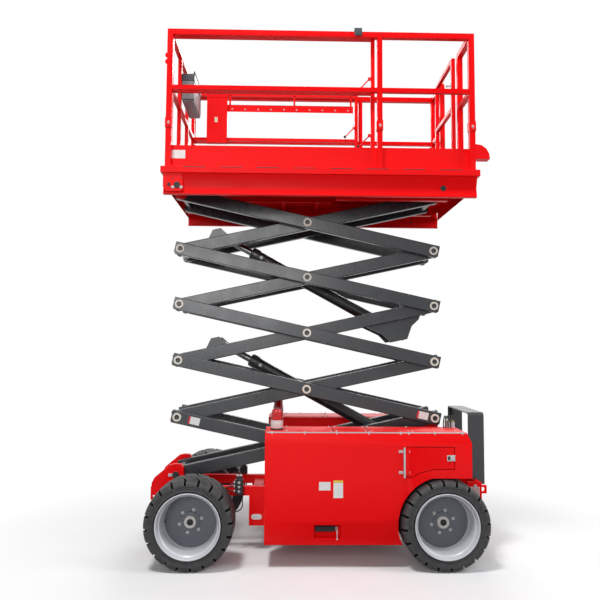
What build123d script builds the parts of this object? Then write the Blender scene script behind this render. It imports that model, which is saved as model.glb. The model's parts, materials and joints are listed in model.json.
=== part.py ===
from build123d import *
import math
import os

# Rough-terrain scissor lift, in millimetres.
# X runs along the machine: the steered front axle is at -X, the entry gate and steps at +X.
# Y runs across it, with the left side at -Y, and Z is up.
# The origin is on the ground, under the middle of the machine.

# ================================================================ driving dimensions
# clearances
FIT = 0.05                  # radial clearance of a running fit
SEAT = 0.3                  # gap between a piece and what it is bolted or seated on
RUN_GAP = 6                 # side gap between pieces that swing past each other

# wheels and axles
WHEELBASE = 2112
TRACK_OUTER_Y = 875         # outer face of the tyres, from the centre line
TYRE_R = 367.5
TYRE_WIDTH = 360
TYRE_EDGE = 46              # bevel at the tyre's shoulders
TYRE_CROWN = 8              # fall of the tread towards the bevel
RIM_R = 262                 # where the tyre sits on the rim
RIM_LIP = 19                # height of the rim's lip above that seat
RIM_WALL = 24
DISC_INSET = 190            # wheel disc, in from the tyre's outer face
DISC_T = 14
HUB_R = 78
HUB_NOSE_R = 48
STUD_PCD = 190
STUD_COUNT = 6
STUD_R = 9
SPINDLE_R = 30
AXLE_SIDE = 110             # side of the square axle beams
DRIVE_R = 118               # drive housing at the middle of the rear axle
KINGPIN_INSET = 315         # kingpin, in from the tyre's outer face
KINGPIN_R = 26
KINGPIN_BOSS_R = 44
KNUCKLE_HALF = 62           # half the height of the knuckle's barrel
FORK_T = 26                 # thickness of the axle's fork plates
STEER_ARM = 120             # kingpin to track rod
TRACK_ROD_R = 15

# chassis frame
RAIL_Y0, RAIL_Y1 = 235, 295
RAIL_RISE = 121.5           # underside of the rails above the wheel centres
RAIL_H = 80
FRONT_PAST = 384            # rails' front end past the front axle
REAR_PAST = 244             # rails' rear end past the rear axle
TIE_DOWN_R = 20             # hole of the tie-down lugs
TIE_DOWN_T = 20
TIE_DOWN_DROP = 30          # front holes below the rails' underside
CHANNEL_T = 12
CHANNEL_IN = 61             # inside width of the lower roller channels
BRACKET_COUNT = 4
EAR_Y0, EAR_Y1 = 245, 295

# scissor stack
LEVELS = 5
ARM_L = 2400                # pin to pin
ARM_ANGLE = 12.35           # degrees above level, as it stands
STOWED_ANGLE = 4.2
RAISED_ANGLE = 51.4
ARM_DEPTH = 115
ARM_T = 60
ARM_END = 52                # arm past its end pin
ARM_CUT = 16                # bevel at the lower corners of its ends
ARM_ROUND = 7
INNER_Y0 = 170              # inner face of the inner arms
ARM_GAP = 10                # between inner and outer arms
PIN_R = 25
PIN_HEAD = 6                # pins past the outer arms
SLEEVE_R = 40
CROSS_TUBE_R = 28
CROSS_TUBE_U = 700
ROLLER_R = 52
TOP_ROLLER_R = 45
TOP_ROLLER_W = 44
PIVOT_BACK = 187            # front pivot, back from the rails' front end
PIVOT_RISE = 101            # front pivot above the rails

# lift cylinders, in the frame of the arms that carry them: U along the arm, V above its pins
FOOT_BACK = 305             # foot pin, in from the arm's rear pin
FOOT_V = -204
LUG_U, LUG_V = 355, 105
PLATE_T = 25
BARREL_R = 55
GLAND_R = 61
ROD_R = 31.5
EYE_R = 39
EYE_HALF = 40
FOOT_EYE_R = 52
FOOT_EYE_HALF = 50
CLOSED_HEAD = 196           # barrel's end to the rod's eye with the cylinder shut
ROD_KEEP = 148              # rod left in the barrel with the cylinder fully out

# side covers, hatches, beacons
COVER_INSET = 65            # covers, in from the tyres' outer face
COVER_Y0 = 385
COVER_X0 = -440
COVER_PAST = 224            # covers' rear end past the rear axle
COVER_DROP = 170.5          # lower edge below the wheel centres
SHEET_T = 6
ARCH_GAP = 24.5             # round the tyre
ARCH_TOP_GAP = 10           # above the tyre, where the arch is cut flat
COVER_RISE = 371            # top above the arch's flat
BAND_RISE = 286             # fold of the leaning upper band above the arch's flat
BAND_LEAN = 22
LOW_BAND_DROP = 344         # fold of the lower band below the arch's flat
LOW_BAND_LEAN = 40
TOP_CORNER_X, TOP_CORNER_Z = 35, 80
POCKET_X, POCKET_Z = 409, 56  # step pocket's corner from the cover's lower front corner
POCKET_W, POCKET_H, POCKET_DEEP = 222, 113, 80
POCKET_WALL = 4
HATCH_GAP = 5
HATCH_RISE = 7              # hatch's lower edge above the arch's flat
HINGE_ROD_R = 7
HINGE_OUT = 10              # hinge rod, out from the cover's face
BEACON_X, BEACON_Y = -345, 600
BEACON_R = 54
BEACON_BASE_H, BEACON_LENS_H = 80, 95

# rear bumper and steps
BUMPER_X = 110              # bumper's front face past the rails
BUMPER_T = 40
BUMPER_H = 150
BUMPER_RISE = 11            # bumper's underside above the rails'
STEP_X = 76                 # portal of the steps, past the rails
STEP_DEEP = 144
STEP_HALF = 362
STEP_T = 12
STEP_TOP = 674              # portal's top above the rails
STEP_LOW = 40               # its legs' lower end above the rails

# platform
DECK_RISE = 126.4           # deck above the stack's top pins
DECK_FRONT = 87             # deck ahead of the front pins
DECK_PAST = 229             # deck past the arms' length at the rear
DECK_HALF = 755
DECK_T = 12
FLANGE_OUT = 20
FLANGE_H = 56
TRAY_DEPTH = 236
SKIRT_T = 8
TRAY_WALL_T = 4
RIB_T = 30
RIB_COUNT = 7
TOP_CHANNEL_T = 10
LUG_T = 20
TOE_H = 204
TOE_T = 5
RAIL_TOP = 1226             # top of the guard rails above the deck
MID_RAIL = 705              # their mid rail's centre
TUBE = 50                   # square tube of the main guard rails
MID_TUBE = 40
POST_TUBE = 44
RAIL_IN = 38                # corner posts' centre, in from the deck's ends
MID_POST_X = 1832           # middle post, back from the front corner post
COLLAR_Z0, COLLAR_Z1 = 345, 433
COLLAR_T = 5
GATE_Y0, GATE_Y1 = -360, 320
GATE_LOW = 67
GATE_TUBE = 36
GATE_PIN_R = 8.5
EXT_TUBE = 40
EXT_POST = 35
EXT_L = 1822                # roll-out deck, front to rear
EXT_T = 20
EXT_DROP = 0                # its top rail below the main one
EXT_END_POST_Y = 230
PAD_T = 9
MAT_T = 3                   # tread sheets that lie on the decks
MAT_EDGE = 10               # and their distance from what stands round them
CONSOLE_DEEP = 120
BOX_DEEP = 60
HOOD_W = 90

# ================================================================ worked out from them
AXLE_X = WHEELBASE / 2
AXLE_Z = TYRE_R
TYRE_Y = TRACK_OUTER_Y - TYRE_WIDTH / 2
TYRE_IN_Y = TRACK_OUTER_Y - TYRE_WIDTH
DISC_Y = TRACK_OUTER_Y - DISC_INSET
KINGPIN_Y = TRACK_OUTER_Y - KINGPIN_INSET
FORK_GAP = KNUCKLE_HALF + SEAT

RAIL_Z0 = AXLE_Z + RAIL_RISE
RAIL_Z1 = RAIL_Z0 + RAIL_H
FRONT_X = -AXLE_X - FRONT_PAST
PIVOT_X = FRONT_X + PIVOT_BACK
PIVOT_Z = RAIL_Z1 + PIVOT_RISE

INNER_Y1 = INNER_Y0 + ARM_T
OUTER_Y0 = INNER_Y1 + ARM_GAP
OUTER_Y1 = OUTER_Y0 + ARM_T
CHANNEL_Y0 = OUTER_Y1 + RUN_GAP
CHANNEL_Y1 = CHANNEL_Y0 + CHANNEL_IN
TOP_CHANNEL_Y1 = CHANNEL_Y0 + TOP_ROLLER_W + RUN_GAP + 2
FOOT_U = ARM_L - FOOT_BACK
STEP_UP = ARM_L * math.sin(math.radians(ARM_ANGLE))
TOP_PIN_Z = PIVOT_Z + LEVELS * STEP_UP
RUN_X0 = PIVOT_X + ARM_L * math.cos(math.radians(RAISED_ANGLE))
RUN_X1 = PIVOT_X + ARM_L * math.cos(math.radians(STOWED_ANGLE))
REAR_X = max(AXLE_X + REAR_PAST, RUN_X1 + ROLLER_R + 3 * CHANNEL_T)

COVER_Y1 = TRACK_OUTER_Y - COVER_INSET
COVER_X1 = AXLE_X + COVER_PAST
COVER_Z0 = AXLE_Z - COVER_DROP
ARCH_R = TYRE_R + ARCH_GAP
ARCH_FLAT_Z = AXLE_Z + TYRE_R + ARCH_TOP_GAP
COVER_Z1 = ARCH_FLAT_Z + COVER_RISE
BAND_TOP_Z = ARCH_FLAT_Z + BAND_RISE
BAND_LOW_Z = ARCH_FLAT_Z - LOW_BAND_DROP
HATCH_Z0 = ARCH_FLAT_Z + HATCH_RISE
POCKET_X0, POCKET_Z0 = COVER_X0 + POCKET_X, COVER_Z0 + POCKET_Z
CARRIER_XS = (COVER_X0 + 110, COVER_X0 + 870)
CARRIER_HALF, CARRIER_H = 30, 60

# corners of a hatch: X from the rear axle, height above the hatch's lower edge
HATCH = [(-348, 251), (80, 251), (80, 66), (-96, 63), (-211, 34), (-278, 0), (-348, 0)]
HATCH_TOP = HATCH_Z0 + 251
HINGE_X = AXLE_X - 340
HINGE_Y = COVER_Y1 + HINGE_OUT

DECK_Z = TOP_PIN_Z + DECK_RISE
DECK_X0 = PIVOT_X - DECK_FRONT
DECK_X1 = PIVOT_X + ARM_L + DECK_PAST
RAIL_X0, RAIL_X1 = DECK_X0 + RAIL_IN, DECK_X1 - RAIL_IN
RAIL_TOP_Z = DECK_Z + RAIL_TOP
MID_RAIL_Z = DECK_Z + MID_RAIL
TOE_TOP = DECK_Z + TOE_H
GATE_X = RAIL_X1 - TUBE / 2 - 32
GATE_HINGE_X = RAIL_X1 - TUBE / 2 - GATE_PIN_R - 0.5
EXT_HALF = DECK_HALF - TUBE - 41
EXT_X0 = DECK_X0 + 18
EXT_X1 = EXT_X0 + EXT_L
EXT_FRONT_X = EXT_X0 + 22
EXT_REAR_X = EXT_X1 - 23
EXT_Z = DECK_Z + PAD_T
EXT_TOP = RAIL_TOP_Z - EXT_DROP

os.makedirs("parts", exist_ok=True)


# ================================================================ small helpers
def block(x0, x1, y0, y1, z0, z1):
    """A box between two corners."""
    return Pos((x0 + x1) / 2, (y0 + y1) / 2, (z0 + z1) / 2) * Box(x1 - x0, y1 - y0, z1 - z0)


def bar_x(x0, x1, radius):
    """A round bar along X."""
    return Pos((x0 + x1) / 2, 0, 0) * Rot(0, 90, 0) * Cylinder(radius, x1 - x0)


def bar_y(x, z, radius, y0, y1):
    """A round bar that lies across the machine."""
    return Pos(x, (y0 + y1) / 2, z) * Rot(90, 0, 0) * Cylinder(radius, y1 - y0)


def post(x, y, radius, z0, z1):
    """An upright round bar."""
    return Pos(x, y, (z0 + z1) / 2) * Cylinder(radius, z1 - z0)


def plate_x(points, x0, x1):
    """A slab between two X from its outline in YZ."""
    face = make_face(Plane.YZ * Polyline(*points, close=True))
    return Pos(x0, 0, 0) * extrude(face, x1 - x0, dir=(1, 0, 0))


def plate_y(points, y0, y1):
    """A slab between two Y from its outline in XZ."""
    face = make_face(Plane.XZ * Polyline(*points, close=True))
    return Pos(0, y1, 0) * extrude(face, y1 - y0, dir=(0, -1, 0))


def ring_y(points):
    """A ring about the Y axis from its section: radius, Y."""
    return revolve(make_face(Polyline(*points, close=True)), Axis.Y)


def join(shapes):
    """All the shapes as one solid."""
    first, *rest = shapes
    return first.fuse(*rest).clean() if rest else first


def both_sides(shape):
    """The shape and its mirror image on the other side of the machine."""
    return [shape, shape.mirror(Plane.XZ)]


def on_side(shape, side):
    """A right-hand piece as it is, or mirrored for the left; side is +1 or -1."""
    return shape if side > 0 else shape.mirror(Plane.XZ)


def export(name, shape):
    """Write one piece, named by its file."""
    solids = shape.solids()
    whole = solids[0] if len(solids) == 1 else Compound(children=list(solids))
    export_step(whole, f"parts/{name}.step")
    print(f"{name}: {len(solids)} solid(s)")


# ================================================================ wheels
def tyre(x, side):
    """A solid tyre as a plain ring of its true section."""
    half = TYRE_WIDTH / 2
    bead = 20
    flat = half - TYRE_EDGE - 40
    lip_r = RIM_R + RIM_LIP + 6
    section = [(RIM_R, bead - half), (lip_r, -half), (TYRE_R - TYRE_EDGE, -half),
               (TYRE_R - TYRE_CROWN, TYRE_EDGE - half), (TYRE_R, -flat),
               (TYRE_R, flat), (TYRE_R - TYRE_CROWN, half - TYRE_EDGE),
               (TYRE_R - TYRE_EDGE, half), (lip_r, half), (RIM_R, half - bead)]
    return Pos(x, side * TYRE_Y, AXLE_Z) * ring_y(section)


def rim(x, side):
    """Deep-dished steel rim with its disc, hub and wheel studs."""
    half = TYRE_WIDTH / 2
    seat_r = RIM_R - SEAT
    bore_r = RIM_R - RIM_WALL
    lip_r = RIM_R + RIM_LIP
    proud = 6
    disc_y = DISC_Y - TYRE_Y
    pieces = [ring_y([(bore_r, 22 - half), (seat_r, 22 - half), (seat_r, half - 22), (bore_r, half - 22)])]
    for end in (-1, 1):
        lip = [(bore_r, half - 26), (seat_r, half - 26), (seat_r, half - 19.6), (lip_r, half + 0.5),
               (lip_r, half + proud), (lip_r - 9, half + proud), (bore_r, half - 14)]
        pieces.append(ring_y([(r, end * y) for r, y in lip]))
    pieces.append(bar_y(0, 0, bore_r + 5, disc_y - DISC_T, disc_y))
    pieces.append(bar_y(0, 0, HUB_R, disc_y - 60, disc_y + 14))
    pieces.append(bar_y(0, 0, HUB_NOSE_R, disc_y, disc_y + 44))
    for i in range(STUD_COUNT):
        stud = bar_y(STUD_PCD / 2, 0, STUD_R, disc_y - 2, disc_y + 26)
        pieces.append(Rot(0, i * 360 / STUD_COUNT, 0) * stud)
    wheel = join(pieces) - bar_y(0, 0, SPINDLE_R + FIT, disc_y - 80, disc_y + 20)
    return Pos(x, side * TYRE_Y, AXLE_Z) * on_side(wheel, side)


# ================================================================ axles and steering
def knuckle(side):
    """Front knuckle: kingpin barrel, spindle and steering arm."""
    arm_t = 22
    arm_z = AXLE_Z - KNUCKLE_HALF + 10
    tip_x = -AXLE_X + STEER_ARM
    body = join([
        post(-AXLE_X, KINGPIN_Y, KINGPIN_BOSS_R, AXLE_Z - KNUCKLE_HALF, AXLE_Z + KNUCKLE_HALF),
        bar_y(-AXLE_X, AXLE_Z, SPINDLE_R, KINGPIN_Y, DISC_Y + 10),
        bar_y(-AXLE_X, AXLE_Z, HUB_NOSE_R + 4, KINGPIN_Y, DISC_Y - 66),
        block(-AXLE_X, tip_x, KINGPIN_Y - arm_t, KINGPIN_Y + arm_t, arm_z, arm_z + arm_t),
        post(tip_x, KINGPIN_Y, 26, arm_z, arm_z + arm_t)])
    body -= post(-AXLE_X, KINGPIN_Y, KINGPIN_R + FIT, AXLE_Z - 2 * KNUCKLE_HALF, AXLE_Z + 2 * KNUCKLE_HALF)
    return on_side(body, side)


def tie_rod():
    """Track rod across the front axle, its ends under the steering arms."""
    top = AXLE_Z - KNUCKLE_HALF + 10 - SEAT
    x = -AXLE_X + STEER_ARM
    end_r = 22
    reach = KINGPIN_Y - end_r + 4
    bar = bar_y(x, top - end_r, TRACK_ROD_R, -reach, reach)
    return join([bar] + both_sides(post(x, KINGPIN_Y, end_r, top - 2 * end_r, top)))


def axle_stand(x):
    """Blocks that bolt an axle beam up to the chassis rails."""
    half = 50
    return both_sides(block(x - half, x + half, RAIL_Y0, RAIL_Y1, AXLE_Z + AXLE_SIDE / 2 - 1, RAIL_Z0))


def front_axle():
    """Front beam with a fork and kingpin at each end, and the steering cylinder's barrel."""
    half = AXLE_SIDE / 2
    fork_in = 112
    fork_half = 40
    beam_y = KINGPIN_Y - fork_in + 2
    pieces = [block(-AXLE_X - half, -AXLE_X + half, -beam_y, beam_y, AXLE_Z - half, AXLE_Z + half)]
    plate_z = FORK_GAP + FORK_T
    for z0 in (-plate_z, FORK_GAP):
        low, high = AXLE_Z + z0, AXLE_Z + z0 + FORK_T
        pieces += both_sides(block(-AXLE_X - fork_half, -AXLE_X + fork_half,
                                   KINGPIN_Y - fork_in, KINGPIN_Y, low, high))
        pieces += both_sides(post(-AXLE_X, KINGPIN_Y, fork_half, low, high))
    pieces += both_sides(block(-AXLE_X - fork_half, -AXLE_X + fork_half, KINGPIN_Y - fork_in, KINGPIN_Y - 72,
                               AXLE_Z - plate_z, AXLE_Z + plate_z))
    pin_z = plate_z + 8
    pieces += both_sides(post(-AXLE_X, KINGPIN_Y, KINGPIN_R, AXLE_Z - pin_z, AXLE_Z + pin_z))
    pieces.append(bar_y(-AXLE_X - half - 30, AXLE_Z, 36, -210, 210))
    return join(pieces + axle_stand(-AXLE_X))


def rear_axle():
    """Rear beam with its spindles and the drive housing at its middle."""
    half = AXLE_SIDE / 2
    beam_y = DISC_Y - 120
    pieces = [block(AXLE_X - half, AXLE_X + half, -beam_y, beam_y, AXLE_Z - half, AXLE_Z + half)]
    pieces += both_sides(bar_y(AXLE_X, AXLE_Z, SPINDLE_R, beam_y - 10, DISC_Y + 10))
    pieces += both_sides(bar_y(AXLE_X, AXLE_Z, 70, beam_y - 10, DISC_Y - 66))
    pieces.append(Pos(AXLE_X, 0, AXLE_Z - 10) * Sphere(DRIVE_R))
    return join(pieces + axle_stand(AXLE_X))


# ================================================================ chassis
def tie_down(tip_x, root_x, y, z, rise):
    """A pair of lugs with a round hole for a lashing shackle, rising above the hole by rise."""
    half = 36
    low, high = min(tip_x, root_x), max(tip_x, root_x)
    hole_x = tip_x + math.copysign(half, root_x - tip_x)
    lug = block(low, high, y, y + TIE_DOWN_T, z - half, z + rise)
    return both_sides(lug - bar_y(hole_x, z, TIE_DOWN_R, y - 5, y + TIE_DOWN_T + 5))


def roller_channels():
    """Lower roller channels, open inwards, on brackets off the rails."""
    z_run = PIVOT_Z - ROLLER_R - SEAT
    z_roof = PIVOT_Z + ROLLER_R + 2
    x0, x1 = RUN_X0 - ROLLER_R - 30, RUN_X1 + ROLLER_R + CHANNEL_T
    y1 = CHANNEL_Y1 + CHANNEL_T
    pieces = [block(x0, x1, CHANNEL_Y0, y1, z_run - CHANNEL_T, z_run),
              block(x0, x1, CHANNEL_Y0, y1, z_roof, z_roof + CHANNEL_T),
              block(x0, x1, CHANNEL_Y1, y1, z_run - CHANNEL_T, z_roof + CHANNEL_T)]
    half = 25
    low = RAIL_Z1 - 60
    for i in range(BRACKET_COUNT):
        x = x0 + 40 + i * (x1 - x0 - 80) / (BRACKET_COUNT - 1)
        pieces.append(block(x - half, x + half, RAIL_Y1 - 5, y1, low, RAIL_Z1 - 5))
        pieces.append(block(x - half, x + half, CHANNEL_Y0, y1, low, z_run - 2))
    return [side for shape in pieces for side in both_sides(shape)]


def chassis_frame():
    """Two rails with cross members, front ears, pivot shaft, roller channels and cover carriers."""
    pieces = both_sides(block(FRONT_X, REAR_X, RAIL_Y0, RAIL_Y1, RAIL_Z0, RAIL_Z1))
    # front ears, X and Z from the pivot
    ear = [(-215, -RAIL_H - PIVOT_RISE), (-215, -73), (-192, -26), (-59, 85), (-11, 97), (45, 93), (68, 61),
           (69, 14), (87, 1 - PIVOT_RISE), (87, -RAIL_H - PIVOT_RISE)]
    pieces += both_sides(plate_y([(PIVOT_X + x, PIVOT_Z + z) for x, z in ear], EAR_Y0, EAR_Y1))
    pieces.append(bar_y(PIVOT_X, PIVOT_Z, PIN_R, -EAR_Y1 - 8, EAR_Y1 + 8))
    # cross members: front and rear face, underside and top from the rails' underside
    rear_tie = REAR_X - 130
    members = [(FRONT_X, FRONT_X + 60, 0, RAIL_H), (COVER_X0 - 120, COVER_X0 - 30, -19, 51),
               (230, 300, -20, 40), (rear_tie, rear_tie + 70, 0, RAIL_H)]
    for x0, x1, z0, z1 in members:
        pieces.append(block(x0, x1, -RAIL_Y0 - 5, RAIL_Y0 + 5, RAIL_Z0 + z0, RAIL_Z0 + z1))
    pieces += tie_down(FRONT_X - 60, FRONT_X + 5, 150, RAIL_Z0 - TIE_DOWN_DROP, RAIL_H)
    pieces += roller_channels()
    # carriers that the covers hang on
    for x in CARRIER_XS:
        x0, x1 = x - CARRIER_HALF, x + CARRIER_HALF
        pieces += both_sides(block(x0, x1, RAIL_Y1 - 5, COVER_Y1 - 60, RAIL_Z0 - CARRIER_H, RAIL_Z0))
        pieces += both_sides(block(x0, x1, RAIL_Y0, RAIL_Y1, RAIL_Z0 - CARRIER_H, RAIL_Z0 + 5))
    # hanging bracket with an oval hole, ahead of each cover
    bx0, bx1 = COVER_X0 - 152, COVER_X0 - 16
    bracket = block(bx0, bx1, RAIL_Y1 - CHANNEL_T, RAIL_Y1, RAIL_Z0 - 264, RAIL_Z0 + 5)
    oval = Rot(90, 0, 0) * extrude(SlotOverall(96, 52), 2 * CHANNEL_T, both=True)
    oval = Pos((bx0 + bx1) / 2, RAIL_Y1, RAIL_Z0 - 189) * oval
    pieces += both_sides(bracket - oval)
    return join(pieces)


def rear_bumper():
    """Rear beam with its side cheeks, stays to the rails and tie-down lugs."""
    x0 = REAR_X + SEAT
    beam_x = REAR_X + BUMPER_X
    y1 = TYRE_IN_Y - 10
    y0 = y1 - 35
    z0 = RAIL_Z0 + BUMPER_RISE
    z1 = z0 + BUMPER_H
    pieces = [block(beam_x, beam_x + BUMPER_T, -y1, y1, z0, z1)]
    cheek = plate_y([(x0, z0 + 69), (x0 + 30, z1 + 5), (beam_x + 5, z1 + 5), (beam_x + 5, z0),
                     (beam_x - 40, z0), (x0, z0 + 30)], y0, y1)
    window = block(x0 + 52, x0 + 122, y0 - 10, y1 + 10, z0 + 28, z0 + 108)
    pieces += both_sides(cheek - window)
    pieces += both_sides(block(x0, beam_x + 5, RAIL_Y0, RAIL_Y1, z0 + 10, z0 + 60))
    pieces += both_sides(block(x0, x0 + 30, RAIL_Y0, y0 + 10, z0 + 10, z0 + 60))
    pieces += tie_down(REAR_X + 220, beam_x + BUMPER_T - 5, 400, z0 + BUMPER_H / 2, 36)
    return join(pieces)


def ladder():
    """Rear steps: treads inside a portal of folded plate, notched over the bumper's beam."""
    x0, x1 = REAR_X + STEP_X, REAR_X + STEP_X + STEP_DEEP
    low, top = RAIL_Z1 + STEP_LOW, RAIL_Z1 + STEP_TOP
    corner = 24
    half, inner = STEP_HALF, STEP_HALF - STEP_T
    under = top - STEP_T
    outer = [(-half, low), (-half, top - corner), (corner - half, top), (half - corner, top),
             (half, top - corner), (half, low), (inner, low), (inner, top - corner),
             (half - corner, under), (corner - half, under), (-inner, top - corner), (-inner, low)]
    pieces = [plate_x(outer, x0, x1)]
    beam_top = RAIL_Z0 + BUMPER_RISE + BUMPER_H
    tread_t = 30
    for z in (beam_top + 45, beam_top + 295):
        pieces.append(block(x0 + 14, x1 - 20, -inner - 2, inner + 2, z, z + tread_t))
    beam_back = REAR_X + BUMPER_X + BUMPER_T
    notch = block(x0 - 5, beam_back + SEAT, -half - 5, half + 5, low - 5, beam_top + SEAT)
    return join(pieces) - notch


# ================================================================ side covers
def cover_outline(inset):
    """Side outline of a cover, with its wheel arch, drawn in by inset."""
    x0, x1 = COVER_X0 + inset, COVER_X1 - inset
    z0, z1 = COVER_Z0 + inset, COVER_Z1 - inset
    arch = ARCH_R + inset
    flat = ARCH_FLAT_Z + inset
    foot_x = AXLE_X - math.sqrt(arch ** 2 - (AXLE_Z - z0) ** 2)
    shoulder_x = AXLE_X - math.sqrt(arch ** 2 - (flat - AXLE_Z) ** 2)
    mid = math.radians(150)
    mid_point = (AXLE_X + arch * math.cos(mid), AXLE_Z + arch * math.sin(mid))
    lines = Polyline((x1, flat), (x1, z1 - TOP_CORNER_Z), (x1 - TOP_CORNER_X, z1), (x0, z1), (x0, z0),
                     (foot_x, z0))
    arc = ThreePointArc((foot_x, z0), mid_point, (shoulder_x, flat))
    closing = Line((shoulder_x, flat), (x1, flat))
    return Plane.XZ * make_face(lines.edges() + arc.edges() + closing.edges())


def leaning_bands(inset):
    """What the leaning upper and lower bands cut off the cover's side, drawn in by inset."""
    x0, x1 = COVER_X0 - 5, COVER_X1 + 5
    y = COVER_Y1 - inset
    far = COVER_Y1 + 5
    upper = [(y, BAND_TOP_Z), (y - BAND_LEAN, COVER_Z1 + 1), (far, COVER_Z1 + 1), (far, BAND_TOP_Z)]
    lower = [(y, BAND_LOW_Z), (far, BAND_LOW_Z), (far, COVER_Z0 - 1), (y - LOW_BAND_LEAN, COVER_Z0 - 1)]
    return plate_x(upper, x0, x1), plate_x(lower, x0, x1)


def hatch_prism(inset, y0, y1):
    """The hatch outline, drawn in by inset, as a slab."""
    points = [(AXLE_X + x, HATCH_Z0 + z) for x, z in HATCH]
    face = make_face(Plane.XZ * Polyline(*points, close=True))
    if inset:
        face = offset(face, -inset)
    return Pos(0, y1, 0) * extrude(face, y1 - y0, dir=(0, -1, 0))


def cover(side):
    """Folded-sheet side cover with its wheel arch, hatch opening and step pocket."""
    width = COVER_Y1 - COVER_Y0
    outer = Pos(0, COVER_Y1, 0) * extrude(cover_outline(0), width, dir=(0, -1, 0))
    inner = extrude(cover_outline(SHEET_T), width - 2 * SHEET_T, dir=(0, -1, 0))
    inner = Pos(0, COVER_Y1 - SHEET_T, 0) * inner
    cut_high, cut_low = leaning_bands(0)
    keep_high, keep_low = leaning_bands(SHEET_T)
    shell = outer - cut_high - cut_low - (inner - keep_high - keep_low)
    shell -= hatch_prism(0, COVER_Y1 - 40, COVER_Y1 + 10)
    # holes that the carriers enter by, in the inner wall
    for x in CARRIER_XS:
        reach = CARRIER_HALF + SEAT
        shell -= block(x - reach, x + reach, COVER_Y0 - 5, COVER_Y0 + SHEET_T + 5,
                       RAIL_Z0 - CARRIER_H - SEAT, RAIL_Z0 + SEAT)
    # recessed step pocket low on the side
    x1, z1 = POCKET_X0 + POCKET_W, POCKET_Z0 + POCKET_H
    wall = POCKET_WALL
    y0 = COVER_Y1 - POCKET_DEEP
    hollow = block(POCKET_X0, x1, y0, COVER_Y1 + 10, POCKET_Z0, z1)
    tub = block(POCKET_X0 - wall, x1 + wall, y0 - wall, COVER_Y1, POCKET_Z0 - wall, z1 + wall)
    shell = (shell - hollow).fuse(tub - hollow - cut_low)
    # lugs that hold the ends of the hatch's hinge rod
    for z0, z1 in ((HATCH_Z0 - 7, HATCH_Z0 - SEAT), (HATCH_TOP + SEAT, HATCH_TOP + 10)):
        shell = shell.fuse(block(HINGE_X - 10, HINGE_X + 12, COVER_Y1 - 3, HINGE_Y + 9, z0, z1))
    return on_side(shell, side)


def hatch(side):
    """Hatch door with its hinge rod along its front edge."""
    slab = hatch_prism(HATCH_GAP, COVER_Y1 - SHEET_T, COVER_Y1)
    stiffener = hatch_prism(40, COVER_Y1 - 30, COVER_Y1 - SHEET_T + 1)
    rod_bar = post(HINGE_X, HINGE_Y, HINGE_ROD_R, HATCH_Z0, HATCH_TOP)
    leaf = block(HINGE_X, HINGE_X + 40, COVER_Y1 - 1, HINGE_Y, HATCH_Z0 + 20, HATCH_TOP - 20)
    return on_side(join([slab, stiffener, rod_bar, leaf]), side)


def pack_block(side):
    """A plain mass inside a cover: the engine and pump on the left, the oil tank on the right."""
    x0 = COVER_X0 + 60
    mass = block(x0, x0 + 760, COVER_Y0 + 55, COVER_Y1 - 110, RAIL_Z0 + SEAT, COVER_Z1 - 116)
    return on_side(mass, side)


def beacon_bases():
    """Mounting cups of the two warning beacons."""
    z = COVER_Z1 + SEAT
    cup = post(BEACON_X, BEACON_Y, BEACON_R, z, z + BEACON_BASE_H)
    return Compound(children=both_sides(cup))


def beacon_lenses():
    """Domed lenses on the beacon cups."""
    z = COVER_Z1 + BEACON_BASE_H + 2 * SEAT
    lens = post(BEACON_X, BEACON_Y, BEACON_R - 2, z, z + BEACON_LENS_H)
    lens = fillet(lens.edges().group_by(Axis.Z)[-1], 20)
    return Compound(children=both_sides(lens))


# ================================================================ scissor arms
def arm(y0, y1):
    """One rectangular arm along X from its front pin, its long edges eased and end corners cut."""
    half = ARM_DEPTH / 2
    bar = block(-ARM_END, ARM_L + ARM_END, y0, y1, -half, half)
    bar = fillet(bar.edges().filter_by(Axis.X), ARM_ROUND)
    for end, way in ((-ARM_END, 1), (ARM_L + ARM_END, -1)):
        corner = [(end - way, -half - 1), (end + way * ARM_CUT, -half - 1), (end - way, ARM_CUT - half)]
        bar -= plate_y(corner, y0 - 1, y1 + 1)
    return bar


def placed(shape, level, rising):
    """Put an arm frame at its level: rising to the rear (inner) or to the front (outer)."""
    z = PIVOT_Z + (level - 1) * STEP_UP
    if rising:
        return Pos(PIVOT_X, 0, z) * Rot(0, -ARM_ANGLE, 0) * shape
    return Pos(PIVOT_X, 0, z + STEP_UP) * Rot(0, ARM_ANGLE, 0) * shape


def cheek_plates(outline, spacer):
    """A pair of pin plates inside the inner arms, each on a spacer; spacer is U0, U1, V0, V1."""
    y1 = INNER_Y0 - RUN_GAP + 1
    u0, u1, v0, v1 = spacer
    plates = both_sides(plate_y(outline, y1 - PLATE_T, y1))
    return plates + both_sides(block(u0, u1, y1 - 2, INNER_Y0 + 2, v0, v1))


def foot_plates():
    """Hanging plates and pin of a cylinder's foot."""
    root = -ARM_DEPTH / 2 + 37
    shape = [(-383, root), (-193, 40), (-139, -46), (22, -46), (45, -9), (90, 64), (167, 110), (215, root)]
    outline = [(FOOT_U + u, root if v == root else FOOT_V + v) for u, v in shape]
    pin_y = INNER_Y0 - RUN_GAP
    spacer = (FOOT_U - 330, FOOT_U + 180, 5 - ARM_DEPTH / 2, root)
    return cheek_plates(outline, spacer) + [bar_y(FOOT_U, FOOT_V, PIN_R, -pin_y, pin_y)]


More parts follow.
